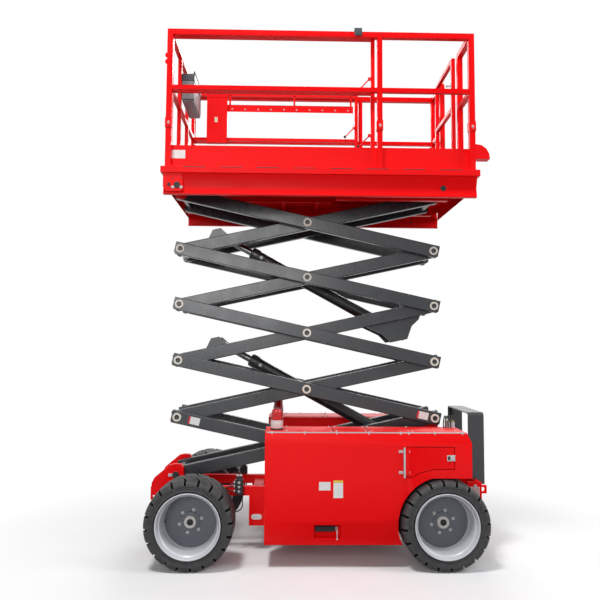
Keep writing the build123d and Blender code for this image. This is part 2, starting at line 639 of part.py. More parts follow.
def lug_plates():
    """Upright plates and stub pins of a cylinder's upper end; the rod's eye hangs between the stubs."""
    root = 20
    shape = [(-105, root), (-105, 50), (-38, LUG_V + 34), (38, LUG_V + 34), (105, 50), (105, root)]
    outline = [(LUG_U + u, v) for u, v in shape]
    spacer = (LUG_U - 95, LUG_U + 95, root, ARM_DEPTH / 2 - 5)
    stubs = both_sides(bar_y(LUG_U, LUG_V, PIN_R, EYE_HALF + RUN_GAP, INNER_Y0 - RUN_GAP))
    return cheek_plates(outline, spacer) + stubs


def inner_frame(level):
    """Two inner arms with their end sleeves, bored for the shafts that pass through."""
    reach = INNER_Y0 + 2
    pieces = both_sides(arm(INNER_Y0, INNER_Y1))
    for u in (0, ARM_L):
        pieces.append(bar_y(u, 0, SLEEVE_R, -reach, reach))
    if level % 2 == 0:
        pieces.append(bar_y(CROSS_TUBE_U, 0, CROSS_TUBE_R, -reach, reach))
    if level in (1, 3):
        pieces += foot_plates()
    if level in (3, 5):
        pieces += lug_plates()
    frame = join(pieces)
    bored = (0, ARM_L / 2) if level == LEVELS else (0, ARM_L / 2, ARM_L)
    for u in bored:
        frame -= bar_y(u, 0, PIN_R + FIT, -INNER_Y1 - 5, INNER_Y1 + 5)
    if level == LEVELS:
        roller_y = CHANNEL_Y0 + 2
        shaft = bar_y(ARM_L, 0, PIN_R, INNER_Y1 - 5, roller_y + TOP_ROLLER_W)
        roller = bar_y(ARM_L, 0, TOP_ROLLER_R, roller_y, roller_y + TOP_ROLLER_W)
        frame = frame.fuse(*both_sides(shaft), *both_sides(roller))
    return placed(frame, level, rising=True)


def outer_frame(level):
    """Two outer arms tied by shafts at their ends, with stub pins at the middle."""
    head = OUTER_Y1 + PIN_HEAD
    front_reach = CHANNEL_Y0 + 2 + LUG_T + PIN_HEAD if level == LEVELS else head
    rear_reach = CHANNEL_Y1 - 4 if level == 1 else head
    pieces = both_sides(arm(OUTER_Y0, OUTER_Y1))
    pieces.append(bar_y(0, 0, PIN_R, -front_reach, front_reach))
    pieces.append(bar_y(ARM_L, 0, PIN_R, -rear_reach, rear_reach))
    pieces += both_sides(bar_y(ARM_L / 2, 0, PIN_R, INNER_Y0 - 3, head))
    if level == 1:
        pieces += both_sides(bar_y(ARM_L, 0, ROLLER_R, CHANNEL_Y0 + 2, CHANNEL_Y1 - 4))
    return placed(join(pieces), level, rising=False)


# ================================================================ lift cylinders
def cylinder_line(lower_level, angle):
    """Foot pin and eye pin of one cylinder, with the arms at an angle in degrees."""
    turn = math.radians(angle)
    step = ARM_L * math.sin(turn)

    def spot(u, v, level):
        x = PIVOT_X + u * math.cos(turn) - v * math.sin(turn)
        return Vector(x, 0, PIVOT_Z + (level - 1) * step + u * math.sin(turn) + v * math.cos(turn))

    return spot(FOOT_U, FOOT_V, lower_level), spot(LUG_U, LUG_V, lower_level + 2)


def cylinder_length(angle):
    """Pin to pin length of a cylinder with the arms at an angle in degrees."""
    foot, eye = cylinder_line(1, angle)
    return (eye - foot).length


BARREL_L = cylinder_length(STOWED_ANGLE) - CLOSED_HEAD
ROD_L = cylinder_length(RAISED_ANGLE) - BARREL_L + ROD_KEEP


def along_cylinder(lower_level, shape):
    """Put a shape made along X from the foot pin onto a cylinder's line."""
    foot, eye = cylinder_line(lower_level, ARM_ANGLE)
    line = eye - foot
    tilt = math.degrees(math.atan2(line.Z, line.X))
    return Pos(foot.X, 0, foot.Z) * Rot(0, -tilt, 0) * shape


def barrel(lower_level):
    """Barrel with its foot eye, gland nut and the bore that the rod slides in."""
    body = join([bar_y(0, 0, FOOT_EYE_R, -FOOT_EYE_HALF, FOOT_EYE_HALF),
                 bar_x(30, BARREL_L, BARREL_R),
                 bar_x(BARREL_L - 70, BARREL_L, GLAND_R)])
    body -= bar_x(110, BARREL_L + 10, ROD_R + FIT)
    body -= bar_y(0, 0, PIN_R + FIT, -FOOT_EYE_HALF - 10, FOOT_EYE_HALF + 10)
    return along_cylinder(lower_level, body)


def rod(lower_level):
    """Piston rod with its eye at the upper pin."""
    length = cylinder_length(ARM_ANGLE)
    shaft = bar_x(length - ROD_L, length - EYE_R / 2, ROD_R)
    eye_block = bar_y(length, 0, EYE_R, -EYE_HALF, EYE_HALF)
    return along_cylinder(lower_level, join([shaft, eye_block]))


# ================================================================ platform
def deck_plate():
    """Flat floor of the main deck, inside its folded edges."""
    inset = SKIRT_T + SEAT
    half = DECK_HALF - inset
    return block(DECK_X0 + inset, DECK_X1 - inset, -half, half, DECK_Z - DECK_T, DECK_Z)


def deck_skirts():
    """Long edges of the tray: flange, web drawn in under it, lower face and lip of one fold."""
    low = DECK_Z - TRAY_DEPTH
    bend = DECK_Z - FLANGE_H
    web, t = DECK_HALF, SKIRT_T
    waist, foot = web - 36, web - 22
    fold = [(web, bend + 5), (web, bend), (waist, low + 84), (foot, low + 24), (foot, low), (foot - 40, low),
            (foot - 40, low + t), (foot - t, low + t), (foot - t, low + 22), (waist - t, low + 84),
            (web - t, bend), (web - t, bend + 5)]
    x0, x1, out = DECK_X0, DECK_X1, FLANGE_OUT
    flange = block(x0 - out, x1 + out, web - t, web + out, DECK_Z - FLANGE_H, DECK_Z)
    return Compound(children=both_sides(join([flange, plate_x(fold, x0, x1)])))


def deck_ends():
    """Short edges of the tray: a flange with a wall under it."""
    half = DECK_HALF - SKIRT_T - SEAT
    wall_z = DECK_Z - TRAY_DEPTH + 85
    ends = []
    for end, way in ((DECK_X0, 1), (DECK_X1, -1)):
        x0, x1 = sorted((end - way * FLANGE_OUT, end + way * SKIRT_T))
        flange = block(x0, x1, -half, half, DECK_Z - FLANGE_H, DECK_Z)
        x0, x1 = sorted((end, end + way * TRAY_WALL_T))
        ends.append(join([flange, block(x0, x1, 42 - half, half - 42, wall_z, DECK_Z - FLANGE_H + 5)]))
    return Compound(children=ends)


def deck_channels():
    """Upper roller channels with the deck's ribs and the front pivot lugs."""
    roof = DECK_Z - DECK_T - SEAT
    pieces = []
    x0, x1 = DECK_X0, DECK_X1
    rib_y = DECK_HALF - SKIRT_T - SEAT
    for i in range(RIB_COUNT):
        x = x0 + 340 + i * (x1 - x0 - 636) / (RIB_COUNT - 1)
        pieces.append(block(x - RIB_T / 2, x + RIB_T / 2, CHANNEL_Y0, rib_y, DECK_Z - FLANGE_H, roof))
    z_run = TOP_PIN_Z - TOP_ROLLER_R - SEAT
    z_roof = TOP_PIN_Z + TOP_ROLLER_R + 2
    cx0, cx1 = RUN_X0 - TOP_ROLLER_R - 20, RUN_X1 + TOP_ROLLER_R + 30
    y0, y1, t = CHANNEL_Y0, TOP_CHANNEL_Y1, TOP_CHANNEL_T
    pieces += [block(cx0, cx1, y0, y1 + t, z_run - t, z_run),
               block(cx0, cx1, y0, y1 + t, z_roof, z_roof + t),
               block(cx0, cx1, y1, y1 + t, z_run - t, roof)]
    # front pivot lug: X from the pivot, Z from the top pins, with a spine that ties it to the channel
    root = roof - TOP_PIN_Z
    lug = [(-60, root), (-60, -20), (-30, -55), (30, -55), (60, -20), (60, root)]
    lug_y = CHANNEL_Y0 + 2
    lug = plate_y([(PIVOT_X + x, TOP_PIN_Z + z) for x, z in lug], lug_y, lug_y + LUG_T)
    pieces.append(lug - bar_y(PIVOT_X, TOP_PIN_Z, PIN_R + FIT, lug_y - 5, lug_y + LUG_T + 5))
    pieces.append(block(PIVOT_X - 60, cx1, lug_y, lug_y + LUG_T, DECK_Z - FLANGE_H, roof))
    return Compound(children=both_sides(join(pieces)))


def toe_boards():
    """Upright toe boards round the main deck."""
    y = DECK_HALF - TUBE - SEAT
    x = RAIL_X1 - TUBE / 2 - SEAT
    z = DECK_Z + SEAT
    boards = both_sides(block(DECK_X0 + 14, DECK_X1 - 14, y - TOE_T, y, z, TOE_TOP))
    for y0, y1 in ((TOE_T + 1 - y, GATE_Y0 - 30), (GATE_Y1 + 50, y - TOE_T - 1)):
        boards.append(block(x - TOE_T, x, y0, y1, z, TOE_TOP))
    return Compound(children=boards)


def guard_rails():
    """Main guard rails: two sides and the rear end, with posts in sockets."""
    y = DECK_HALF - TUBE / 2
    half, mid, post_half = TUBE / 2, MID_TUBE / 2, POST_TUBE / 2
    x0, x1, top = RAIL_X0, RAIL_X1, RAIL_TOP_Z
    foot = DECK_Z + SEAT
    collar_z0, collar_z1 = DECK_Z + COLLAR_Z0, DECK_Z + COLLAR_Z1
    side = [block(x0 - half, x1 + half, y - half, y + half, top - TUBE, top),
            block(x0, x1, y - mid, y + mid, MID_RAIL_Z - mid, MID_RAIL_Z + mid)]
    for x, w in ((x0, half), (x0 + MID_POST_X, post_half), (x1, half)):
        c = COLLAR_T
        side.append(block(x - w, x + w, y - half, y + half, foot, top - half))
        side.append(block(x - w - c, x + w + c, y - half - c, y + half + c, collar_z0, collar_z1))
    pieces = [one for shape in side for one in both_sides(shape)]
    for y0, y1, inner in ((-y, GATE_Y0, GATE_Y0), (GATE_Y1, y, GATE_Y1)):
        pieces.append(block(x1 - half, x1 + half, y0, y1, top - TUBE, top))
        pieces.append(block(x1 - mid, x1 + mid, y0, y1, MID_RAIL_Z - mid, MID_RAIL_Z + mid))
        pieces.append(block(x1 - half, x1 + half, inner - post_half, inner + post_half, foot, top - half))
    return join(pieces)


def entry_gate():
    """Framed gate at the rear, hinged at its right post."""
    x, half = GATE_X, GATE_TUBE / 2
    y0, y1 = GATE_Y0 + 4, GATE_Y1 - 4
    low, top = DECK_Z + GATE_LOW, RAIL_TOP_Z - 60
    pieces = [block(x - half, x + half, y0, y1, z - half, z + half) for z in (top, MID_RAIL_Z)]
    for y in (y0 + half, y1 - half):
        pieces.append(block(x - half, x + half, y - half, y + half, low, top))
    pieces.append(block(x - 4, x + 4, y0 + half, y1 - half, low, TOE_TOP + 40))
    for z in (low + 90, MID_RAIL_Z + 120, top - 60):
        pieces.append(post(GATE_HINGE_X, GATE_Y1, GATE_PIN_R, z - 40, z + 40))
        pieces.append(block(x, GATE_HINGE_X, GATE_Y1 - 20, GATE_Y1 - 3, z - 30, z + 30))
    return join(pieces)


def roll_out_deck():
    """Roll-out deck plate on wear pads."""
    pieces = [block(EXT_X0, EXT_X1, -EXT_HALF - 20, EXT_HALF + 20, EXT_Z, EXT_Z + EXT_T)]
    for x in (EXT_X0 + 60, EXT_X0 + 900, EXT_X1 - 60):
        pieces += both_sides(block(x - 40, x + 40, EXT_HALF - 60, EXT_HALF, DECK_Z + SEAT, EXT_Z + 2))
    return join(pieces)


def deck_mat():
    """Loose tread sheet on the main deck behind the roll-out deck, where people step in."""
    half = DECK_HALF - TUBE - TOE_T - MAT_EDGE
    z = DECK_Z + SEAT
    return block(EXT_X1 + MAT_EDGE, GATE_X - GATE_TUBE / 2 - MAT_EDGE, -half, half, z, z + MAT_T)


def roll_out_mat():
    """Loose tread sheet on the roll-out deck, clear of what hangs on its rails."""
    half = EXT_HALF - EXT_TUBE / 2 - BOX_DEEP - MAT_EDGE
    x0 = EXT_FRONT_X + EXT_POST / 2 + CONSOLE_DEEP + MAT_EDGE
    z = EXT_Z + EXT_T + SEAT
    return block(x0, EXT_REAR_X - EXT_POST / 2 - MAT_EDGE, -half, half, z, z + MAT_T)


def extension_rails():
    """Roll-out deck's rails: two sides and the front end, with their toe boards."""
    z0 = EXT_Z + EXT_T + SEAT
    half, mid = EXT_TUBE / 2, EXT_POST / 2
    x0, x1, y, top = EXT_FRONT_X, EXT_REAR_X, EXT_HALF, EXT_TOP
    mid_z = MID_RAIL_Z + 2
    toe_z = TOE_TOP - 4
    toe = half - 3
    side = [block(x0 - half, x1 + half, y - half, y + half, top - EXT_TUBE, top),
            block(x0, x1, y - mid, y + mid, mid_z - mid, mid_z + mid),
            block(x0, x1, y + toe - TOE_T, y + toe, z0, toe_z)]
    for x in (x0, x1):
        side.append(block(x - mid, x + mid, y - mid, y + mid, z0, top - half))
    pieces = [one for shape in side for one in both_sides(shape)]
    pieces.append(block(x0 - half, x0 + half, -y, y, top - EXT_TUBE, top))
    pieces.append(block(x0 - mid, x0 + mid, -y, y, mid_z - mid, mid_z + mid))
    pieces.append(block(x0 - toe, x0 - toe + TOE_T, -y, y, z0, toe_z))
    y = EXT_END_POST_Y
    pieces += both_sides(block(x0 - mid, x0 + mid, y - mid, y + mid, z0, top - half))
    return join(pieces)


def control_box():
    """Operator's control box on the front end rail."""
    x = EXT_FRONT_X + EXT_POST / 2 + SEAT
    return block(x, x + CONSOLE_DEEP, -240, 240, EXT_TOP - 449, EXT_TOP - 169)


def document_box():
    """Flat box for papers on the right rail of the roll-out deck."""
    y = EXT_HALF - EXT_TUBE / 2 - SEAT
    return block(EXT_X0 + 178, EXT_X0 + 399, y - BOX_DEEP, y, EXT_TOP - 579, EXT_TOP - 25)


def corner_hood():
    """Quarter-round hood outside the deck's rear left corner."""
    x = RAIL_X1 + TUBE / 2 + SEAT
    z = DECK_Z + 101
    hood = [(x, z), (x + 125, z), (x + 117, z + 51), (x + 92, z + 94), (x + 52, z + 123), (x, z + 131)]
    return plate_y(hood, -DECK_HALF, HOOD_W - DECK_HALF)


# ================================================================ the pieces
PIECES = {
    "chassis_frame": chassis_frame, "front_axle": front_axle, "rear_axle": rear_axle, "tie_rod": tie_rod,
    "rear_bumper": rear_bumper, "ladder": ladder,
    "beacon_bases": beacon_bases, "beacon_lenses": beacon_lenses,
    "deck_plate": deck_plate, "deck_skirts": deck_skirts, "deck_ends": deck_ends,
    "deck_channels": deck_channels, "toe_boards": toe_boards, "guard_rails": guard_rails,
    "entry_gate": entry_gate, "deck_mat": deck_mat, "roll_out_deck": roll_out_deck,
    "roll_out_mat": roll_out_mat, "extension_rails": extension_rails,
    "control_box": control_box, "document_box": document_box, "corner_hood": corner_hood,
}
for name, make in PIECES.items():
    export(name, make())

export("engine_block", pack_block(-1))
export("hydraulic_tank", pack_block(1))
for side_name, side in (("left", -1), ("right", 1)):
    export(f"{side_name}_cover", cover(side))
    export(f"{side_name}_hatch", hatch(side))
    export(f"front_{side_name}_knuckle", knuckle(side))
    for end_name, x in (("front", -AXLE_X), ("rear", AXLE_X)):
        export(f"{end_name}_{side_name}_tyre", tyre(x, side))
        export(f"{end_name}_{side_name}_rim", rim(x, side))

for level in range(1, LEVELS + 1):
    export(f"inner_arms_{level}", inner_frame(level))
    export(f"outer_arms_{level}", outer_frame(level))

for place, lower_level in (("lower", 1), ("upper", 3)):
    export(f"{place}_cylinder_barrel", barrel(lower_level))
    export(f"{place}_cylinder_rod", rod(lower_level))
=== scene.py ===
import json
import math
from types import SimpleNamespace

import bmesh
import bpy
from mathutils import Matrix, Vector


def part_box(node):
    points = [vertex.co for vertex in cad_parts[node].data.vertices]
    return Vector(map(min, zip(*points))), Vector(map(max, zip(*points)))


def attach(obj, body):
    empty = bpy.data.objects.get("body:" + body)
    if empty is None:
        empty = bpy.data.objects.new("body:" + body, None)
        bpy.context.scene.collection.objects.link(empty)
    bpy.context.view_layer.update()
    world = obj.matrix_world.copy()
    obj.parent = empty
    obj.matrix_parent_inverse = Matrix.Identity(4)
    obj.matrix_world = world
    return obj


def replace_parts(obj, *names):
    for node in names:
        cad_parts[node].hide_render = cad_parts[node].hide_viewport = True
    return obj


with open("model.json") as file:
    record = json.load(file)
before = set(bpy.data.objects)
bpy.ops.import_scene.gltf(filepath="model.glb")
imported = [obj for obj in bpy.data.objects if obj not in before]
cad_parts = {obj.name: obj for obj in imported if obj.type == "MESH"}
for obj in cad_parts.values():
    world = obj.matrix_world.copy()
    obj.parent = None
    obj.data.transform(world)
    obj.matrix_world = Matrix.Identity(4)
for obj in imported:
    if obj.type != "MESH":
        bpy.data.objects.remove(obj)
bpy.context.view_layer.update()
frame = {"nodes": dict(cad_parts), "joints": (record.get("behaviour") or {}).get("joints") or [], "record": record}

# -------- camera
# The lift is seen from its left side, from a little over 6 m away and from eye height.
# The camera looks slightly up, so the underside of the platform shows.
CAMERA_AT = (-0.2797, -6.1911, 1.8151)
TURN, TILT, LEAN = -1.186, 94.269, 0.384        # degrees; a tilt of 90 looks level
camera = bpy.data.objects.new("camera", bpy.data.cameras.new("camera"))
bpy.context.scene.collection.objects.link(camera)
camera.data.lens = 38.53
camera.data.shift_x = 0.0021
camera.matrix_world = Matrix.Translation(CAMERA_AT)
for degrees, axis in ((TURN, "Z"), (TILT, "X"), (LEAN, "Z")):
    camera.matrix_world = camera.matrix_world @ Matrix.Rotation(math.radians(degrees), 4, axis)
bpy.context.scene.camera = camera
bpy.context.scene.view_settings.view_transform = "Standard"

# -------- floor
# A pale seamless floor, as in a studio for large machines. It takes the machine's shadow near the
# wheels, fades into the white of the room further off, and throws little light back up.
def graph(owner, ending="OutputMaterial"):
    """The empty node tree of a material or of the room, with short ways to build it up."""
    owner.use_nodes = True
    tree = owner.node_tree
    tree.nodes.clear()

    def add(kind, **settings):
        node = tree.nodes.new("ShaderNode" + kind)
        for key, value in settings.items():
            if hasattr(node, key):
                setattr(node, key, value)
            else:
                node.inputs[key.replace("_", " ")].default_value = value
        return node

    def link(source, target):
        tree.links.new(source, target)

    def noise(**settings):
        """Noise that stays fixed to the piece."""
        node = add("TexNoise", **settings)
        link(add("TexCoord").outputs["Object"], node.inputs["Vector"])
        return node.outputs["Fac"]

    def blend(amount, first, second, kind="MixRGB"):
        """Two colours or two shaders, mixed by an amount. A colour is given plainly or by a node."""
        node = add(kind)
        for value, socket in zip((amount, first, second), node.inputs):
            if isinstance(value, tuple):
                socket.default_value = (*value, 1)
            else:
                link(value, socket)
        return node.outputs[0]

    def scaled(value, low, high, at_low, at_high):
        """A value spread from one range to another."""
        node = add("MapRange", From_Min=low, From_Max=high, To_Min=at_low, To_Max=at_high)
        link(value, node.inputs["Value"])
        return node.outputs["Result"]

    def either(first, second, operation="MAXIMUM"):
        """The larger of two values, or their product."""
        node = add("Math", operation=operation)
        link(first, node.inputs[0])
        link(second, node.inputs[1])
        return node.outputs[0]

    def show(shader):
        link(shader, add(ending).inputs["Surface"])

    return SimpleNamespace(add=add, link=link, noise=noise, blend=blend, scaled=scaled, either=either,
                           show=show)


FLOOR_HALF = 60
FADE_START, FADE_END = 1.6, 3.4         # from the origin, along the floor
floor_mesh = bpy.data.meshes.new("floor")
floor_mesh.from_pydata([(x * FLOOR_HALF, y * FLOOR_HALF, 0) for x, y in ((-1, -1), (1, -1), (1, 1), (-1, 1))],
                       [], [(0, 1, 2, 3)])
floor = bpy.data.objects.new("floor", floor_mesh)
bpy.context.scene.collection.objects.link(floor)

floor_paint = bpy.data.materials.new("floor_paint")
net = graph(floor_paint)
pale = net.add("BsdfDiffuse")
speckled = net.blend(net.noise(Scale=3.0, Detail=4.0), (0.78, 0.78, 0.79), (0.82, 0.82, 0.82))
net.link(speckled, pale.inputs["Color"])
grey = net.add("BsdfDiffuse", Color=(0.34, 0.34, 0.35, 1))
seen = net.add("LightPath")
looked_at = net.either(seen.outputs["Is Camera Ray"], seen.outputs["Is Glossy Ray"])
matt = net.blend(looked_at, grey.outputs[0], pale.outputs[0], "MixShader")
distance = net.add("VectorMath", operation="LENGTH")
net.link(net.add("TexCoord").outputs["Object"], distance.inputs[0])
fade = net.scaled(distance.outputs["Value"], FADE_START, FADE_END, 0.0, 1.0)
white = net.add("Emission", Color=(1, 1, 1, 1), Strength=1.0)
net.show(net.blend(net.either(fade, looked_at, "MULTIPLY"), matt, white.outputs[0], "MixShader"))
floor_mesh.materials.append(floor_paint)

# -------- room light
# A white room: the camera, gloss and glass see plain white, and the machine gets a softer light
# from it. A high key lamp stands at the front left, and weaker boxes fill in from the other sides.
room = bpy.data.worlds.new("room")
bpy.context.scene.world = room
net = graph(room, "OutputWorld")
soft = net.add("Background", Color=(0.93, 0.96, 1.0, 1), Strength=0.24)
white = net.add("Background", Color=(1, 1, 1, 1), Strength=1.0)
seen = net.add("LightPath")
clear = net.either(seen.outputs["Is Glossy Ray"], seen.outputs["Is Transmission Ray"])
looked_at = net.either(seen.outputs["Is Camera Ray"], clear)
net.show(net.blend(looked_at, soft.outputs[0], white.outputs[0], "MixShader"))

LAMPS = [
    # name, place, aimed at, width, height, watts
    ("key_box", (-2.6, -4.6, 12.0), (0, 0, 2.4), 2.0, 2.0, 860),
    ("front_box", (-2.2, -8.8, 3.6), (0, 0, 1.2), 5.0, 3.0, 290),
    ("right_box", (7.5, -3.0, 6.0), (0, 0, 2.2), 3.5, 4.5, 330),
    ("back_box", (1.5, 8.5, 7.5), (0, 0, 2.4), 5.0, 4.0, 620),
]
for name, where, aim, width, height, watts in LAMPS:
    lamp = bpy.data.objects.new(name, bpy.data.lights.new(name, "AREA"))
    lamp.data.shape = "RECTANGLE"
    lamp.data.size, lamp.data.size_y, lamp.data.energy = width, height, watts
    lamp.location = where
    lamp.rotation_euler = (Vector(aim) - Vector(where)).to_track_quat("-Z", "Y").to_euler()
    bpy.context.scene.collection.objects.link(lamp)

# -------- chassis frame
# Two box rails with cross members, front ears and brackets, cut from steel plate and welded.
# It is sprayed in gloss red, and its edges are ground round before painting.
def enamel(name, paint, shade, rough=0.32, gloss=0.22, peel=0.02, dust=0.03, grime=(0.20, 0.17, 0.15)):
    """Sprayed enamel: slight colour drift, orange peel, a painted highlight along the edges and a film of dust."""
    material = bpy.data.materials.new(name)
    net = graph(material)
    drift = net.blend(net.noise(Scale=1.3, Detail=3.0, Roughness=0.55), paint, shade)
    film = net.noise(Scale=5.0, Detail=7.0, Roughness=0.62)
    dusty = net.blend(net.scaled(film, 0.45, 0.95, 0.0, dust), drift, grime)
    # Convex edges are lightened towards a brighter tint: a painted highlight along every edge.
    edge = net.add("NewGeometry").outputs["Pointiness"]
    bright = tuple(min(1.0, 0.035 + c * 1.15) for c in paint)
    edge_highlight = net.blend(net.scaled(edge, 0.515, 0.60, 0.0, 0.22), dusty, bright)
    bump = net.add("Bump", Strength=peel, Distance=0.002)
    net.link(net.noise(Scale=420.0, Detail=1.0), bump.inputs["Height"])
    shader = net.add("BsdfPrincipled", IOR=1.5, Specular_IOR_Level=gloss)
    net.link(edge_highlight, shader.inputs["Base Color"])
    net.link(net.scaled(film, 0.3, 0.8, rough - 0.05, rough + 0.12), shader.inputs["Roughness"])
    net.link(bump.outputs["Normal"], shader.inputs["Normal"])
    net.show(shader.outputs[0])
    return material


def mottled(name, noise, first, second, **shader_settings):
    """A smooth material whose colour wanders between two tones."""
    material = bpy.data.materials.new(name)
    net = graph(material)
    shader = net.add("BsdfPrincipled", **shader_settings)
    net.link(net.blend(net.noise(**noise), first, second), shader.inputs["Base Color"])
    net.show(shader.outputs[0])
    return material


def finished(piece, paint, body, ease, corner=34):
    """Rounds a piece's sharp edges by ease, shades it, paints it and fixes it to its body."""
    bpy.context.scene.collection.objects.link(piece)
    if ease:
        rounding = piece.modifiers.new("rounding", "BEVEL")
        rounding.width, rounding.segments = ease, 2
        rounding.limit_method, rounding.angle_limit = "ANGLE", math.radians(corner)
        settled = bpy.data.meshes.new_from_object(piece.evaluated_get(bpy.context.evaluated_depsgraph_get()))
        piece.modifiers.clear()
        piece.data = settled
    piece.data.shade_smooth()
    piece.data.set_sharp_from_angle(angle=math.radians(50 if ease else corner))
    piece.data.materials.clear()
    piece.data.materials.append(paint)
    if ease:
        weights = piece.modifiers.new("face_weights", "WEIGHTED_NORMAL")
        weights.keep_sharp = True
    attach(piece, body)
    return piece


BODY_OF = {node: body for body, nodes in frame["record"]["behaviour"]["bodies"].items() for node in nodes}


def eased(node, paint, width=0.0025, split=False):
    """A piece of the frame with its sharp edges rounded; split cuts up faces with notches in them first."""
    source = frame["nodes"][node].data
    mesh = bmesh.new()
    corners = [mesh.verts.new(v.co) for v in source.vertices]
    for face in source.polygons:
        if len({tuple(round(c, 6) for c in source.vertices[i].co) for i in face.vertices}) == 3:
            mesh.faces.new([corners[i] for i in face.vertices])
    bmesh.ops.remove_doubles(mesh, verts=mesh.verts, dist=2e-5)
    bmesh.ops.dissolve_limit(mesh, angle_limit=math.radians(1), verts=mesh.verts, edges=mesh.edges)
    if split:
        bmesh.ops.connect_verts_concave(mesh, faces=mesh.faces)
    bmesh.ops.recalc_face_normals(mesh, faces=mesh.faces)
    data = bpy.data.meshes.new(node + "_shell")
    mesh.to_mesh(data)
    mesh.free()
    piece = bpy.data.objects.new(data.name, data)
    finished(piece, paint, BODY_OF[node], width)
    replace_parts(piece, node)
    return piece


def shown(name, parts, paint, body, ease=0.0, corner=34):
    """A new piece joined from parts, each a pair of corner and face lists, painted and fixed."""
    verts, faces = [], []
    for part_verts, part_faces in parts:
        start = len(verts)
        verts += part_verts
        faces += [tuple(i + start for i in face) for face in part_faces]
    data = bpy.data.meshes.new(name)
    data.from_pydata(verts, [], faces)
    mesh = bmesh.new()
    mesh.from_mesh(data)
    bmesh.ops.recalc_face_normals(mesh, faces=mesh.faces)
    mesh.to_mesh(data)
    mesh.free()
    return finished(bpy.data.objects.new(name, data), paint, body, ease, corner)


def block(x0, x1, y0, y1, z0, z1):
    """Corners and faces of a box between two corners; y0 and y1 may come in either order."""
    y0, y1 = sorted((y0, y1))
    verts = [(x, y, z) for z in (z0, z1) for y in (y0, y1) for x in (x0, x1)]
    return verts, [(0, 2, 3, 1), (4, 5, 7, 6), (0, 1, 5, 4), (1, 3, 7, 5), (3, 2, 6, 7), (2, 0, 4, 6)]


def beside(side, x0, x1, inner, outer, z0, z1):
    """Corners and faces of a box on the left (-1) or right (1), between two distances from the middle."""
    return block(x0, x1, side * inner, side * outer, z0, z1)


def plate(outline, near, far, along="Y"):
    """Corners and faces of a plate cut to an outline of points, from near to far along an axis."""
    n = len(outline)
    verts = [(t, p, q) if along == "X" else (p, t, q) for t in (near, far) for p, q in outline]
    edges = [(i, (i + 1) % n, n + (i + 1) % n, n + i) for i in range(n)]
    return verts, [tuple(range(n)), tuple(range(2 * n - 1, n - 1, -1)), *edges]


def turned(profile, at, along="Y", way=1, steps=40):
    """Corners and faces of a turned piece: (distance along its axis, radius) points, closed at both ends."""
    frames = {"X": ((0, 1, 0), (0, 0, 1), (1, 0, 0)), "Y": ((1, 0, 0), (0, 0, 1), (0, 1, 0)),
              "Z": ((1, 0, 0), (0, 1, 0), (0, 0, 1))}
    right, up, axis = (Vector(v) for v in frames[along])
    at = Vector(at)
    verts, rings = [], []
    for distance, radius in profile:
        middle = at + axis * distance * way
        if radius == 0:
            rings.append([len(verts)] * steps)
            verts.append(tuple(middle))
            continue
        rings.append(range(len(verts), len(verts) + steps))
        for i in range(steps):
            a = 2 * math.pi * i / steps
            verts.append(tuple(middle + right * radius * math.cos(a) + up * radius * math.sin(a)))
    faces = []
    pairs = list(zip(rings, rings[1:]))
    if profile[0][1] or profile[-1][1]:
        pairs.append((rings[-1], rings[0]))
    for low, high in pairs:
        for i in range(steps):
            j = (i + 1) % steps
            face = dict.fromkeys((low[i], low[j], high[j], high[i]))
            if len(face) > 2:
                faces.append(tuple(face))
    return verts, faces


def hex_bolt(at, along, way, size):
    """A hexagon bolt head on its washer: size is its width across the flats."""
    head = [(0, 0), (0, size * 0.85), (size * 0.14, size * 0.85), (size * 0.14, 0)]
    cap = [(size * 0.14, 0), (size * 0.14, size * 0.577), (size * 0.62, size * 0.577),
           (size * 0.76, size * 0.46), (size * 0.76, 0)]
    return [turned(head, at, along, way, 14), turned(cap, at, along, way, 6)]


def swept(points, radius, bend=0.03, sides=10):
    """A round pipe through points, its corners bent to a radius."""
    path = [Vector(p) for p in points]
    route = [path[0]]
    for before, here, after in zip(path, path[1:], path[2:]):
        come, go = (before - here), (after - here)
        reach = min(bend, come.length * 0.45, go.length * 0.45)
        start, end = here + come.normalized() * reach, here + go.normalized() * reach
        for i in range(6):
            t = i / 5
            route.append(start * (1 - t) ** 2 + here * 2 * t * (1 - t) + end * t ** 2)
    route.append(path[-1])
    verts, faces = [], []
    side = Vector((0.13, 0.31, 0.94))
    for i, point in enumerate(route):
        ahead = (route[min(i + 1, len(route) - 1)] - route[max(i - 1, 0)]).normalized()
        side = (side - ahead * side.dot(ahead)).normalized()
        other = ahead.cross(side)
        for k in range(sides):
            a = 2 * math.pi * k / sides
            verts.append(tuple(point + side * radius * math.cos(a) + other * radius * math.sin(a)))
    for i in range(len(route) - 1):
        for k in range(sides):
            j = (k + 1) % sides
            a, b = i * sides, (i + 1) * sides
            faces.append((a + k, a + j, b + j, b + k))
    faces.append(tuple(range(sides)))
    faces.append(tuple(range(len(verts) - sides, len(verts))))
    return verts, faces


red = enamel("red_enamel", (0.83, 0.0006, 0.0022), (0.75, 0.0005, 0.0018), rough=0.36, gloss=0.10, dust=0.008)
eased("chassis_frame", red)
frame_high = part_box("chassis_frame")[1]
JOINT = {joint["name"]: joint for joint in frame["joints"]}

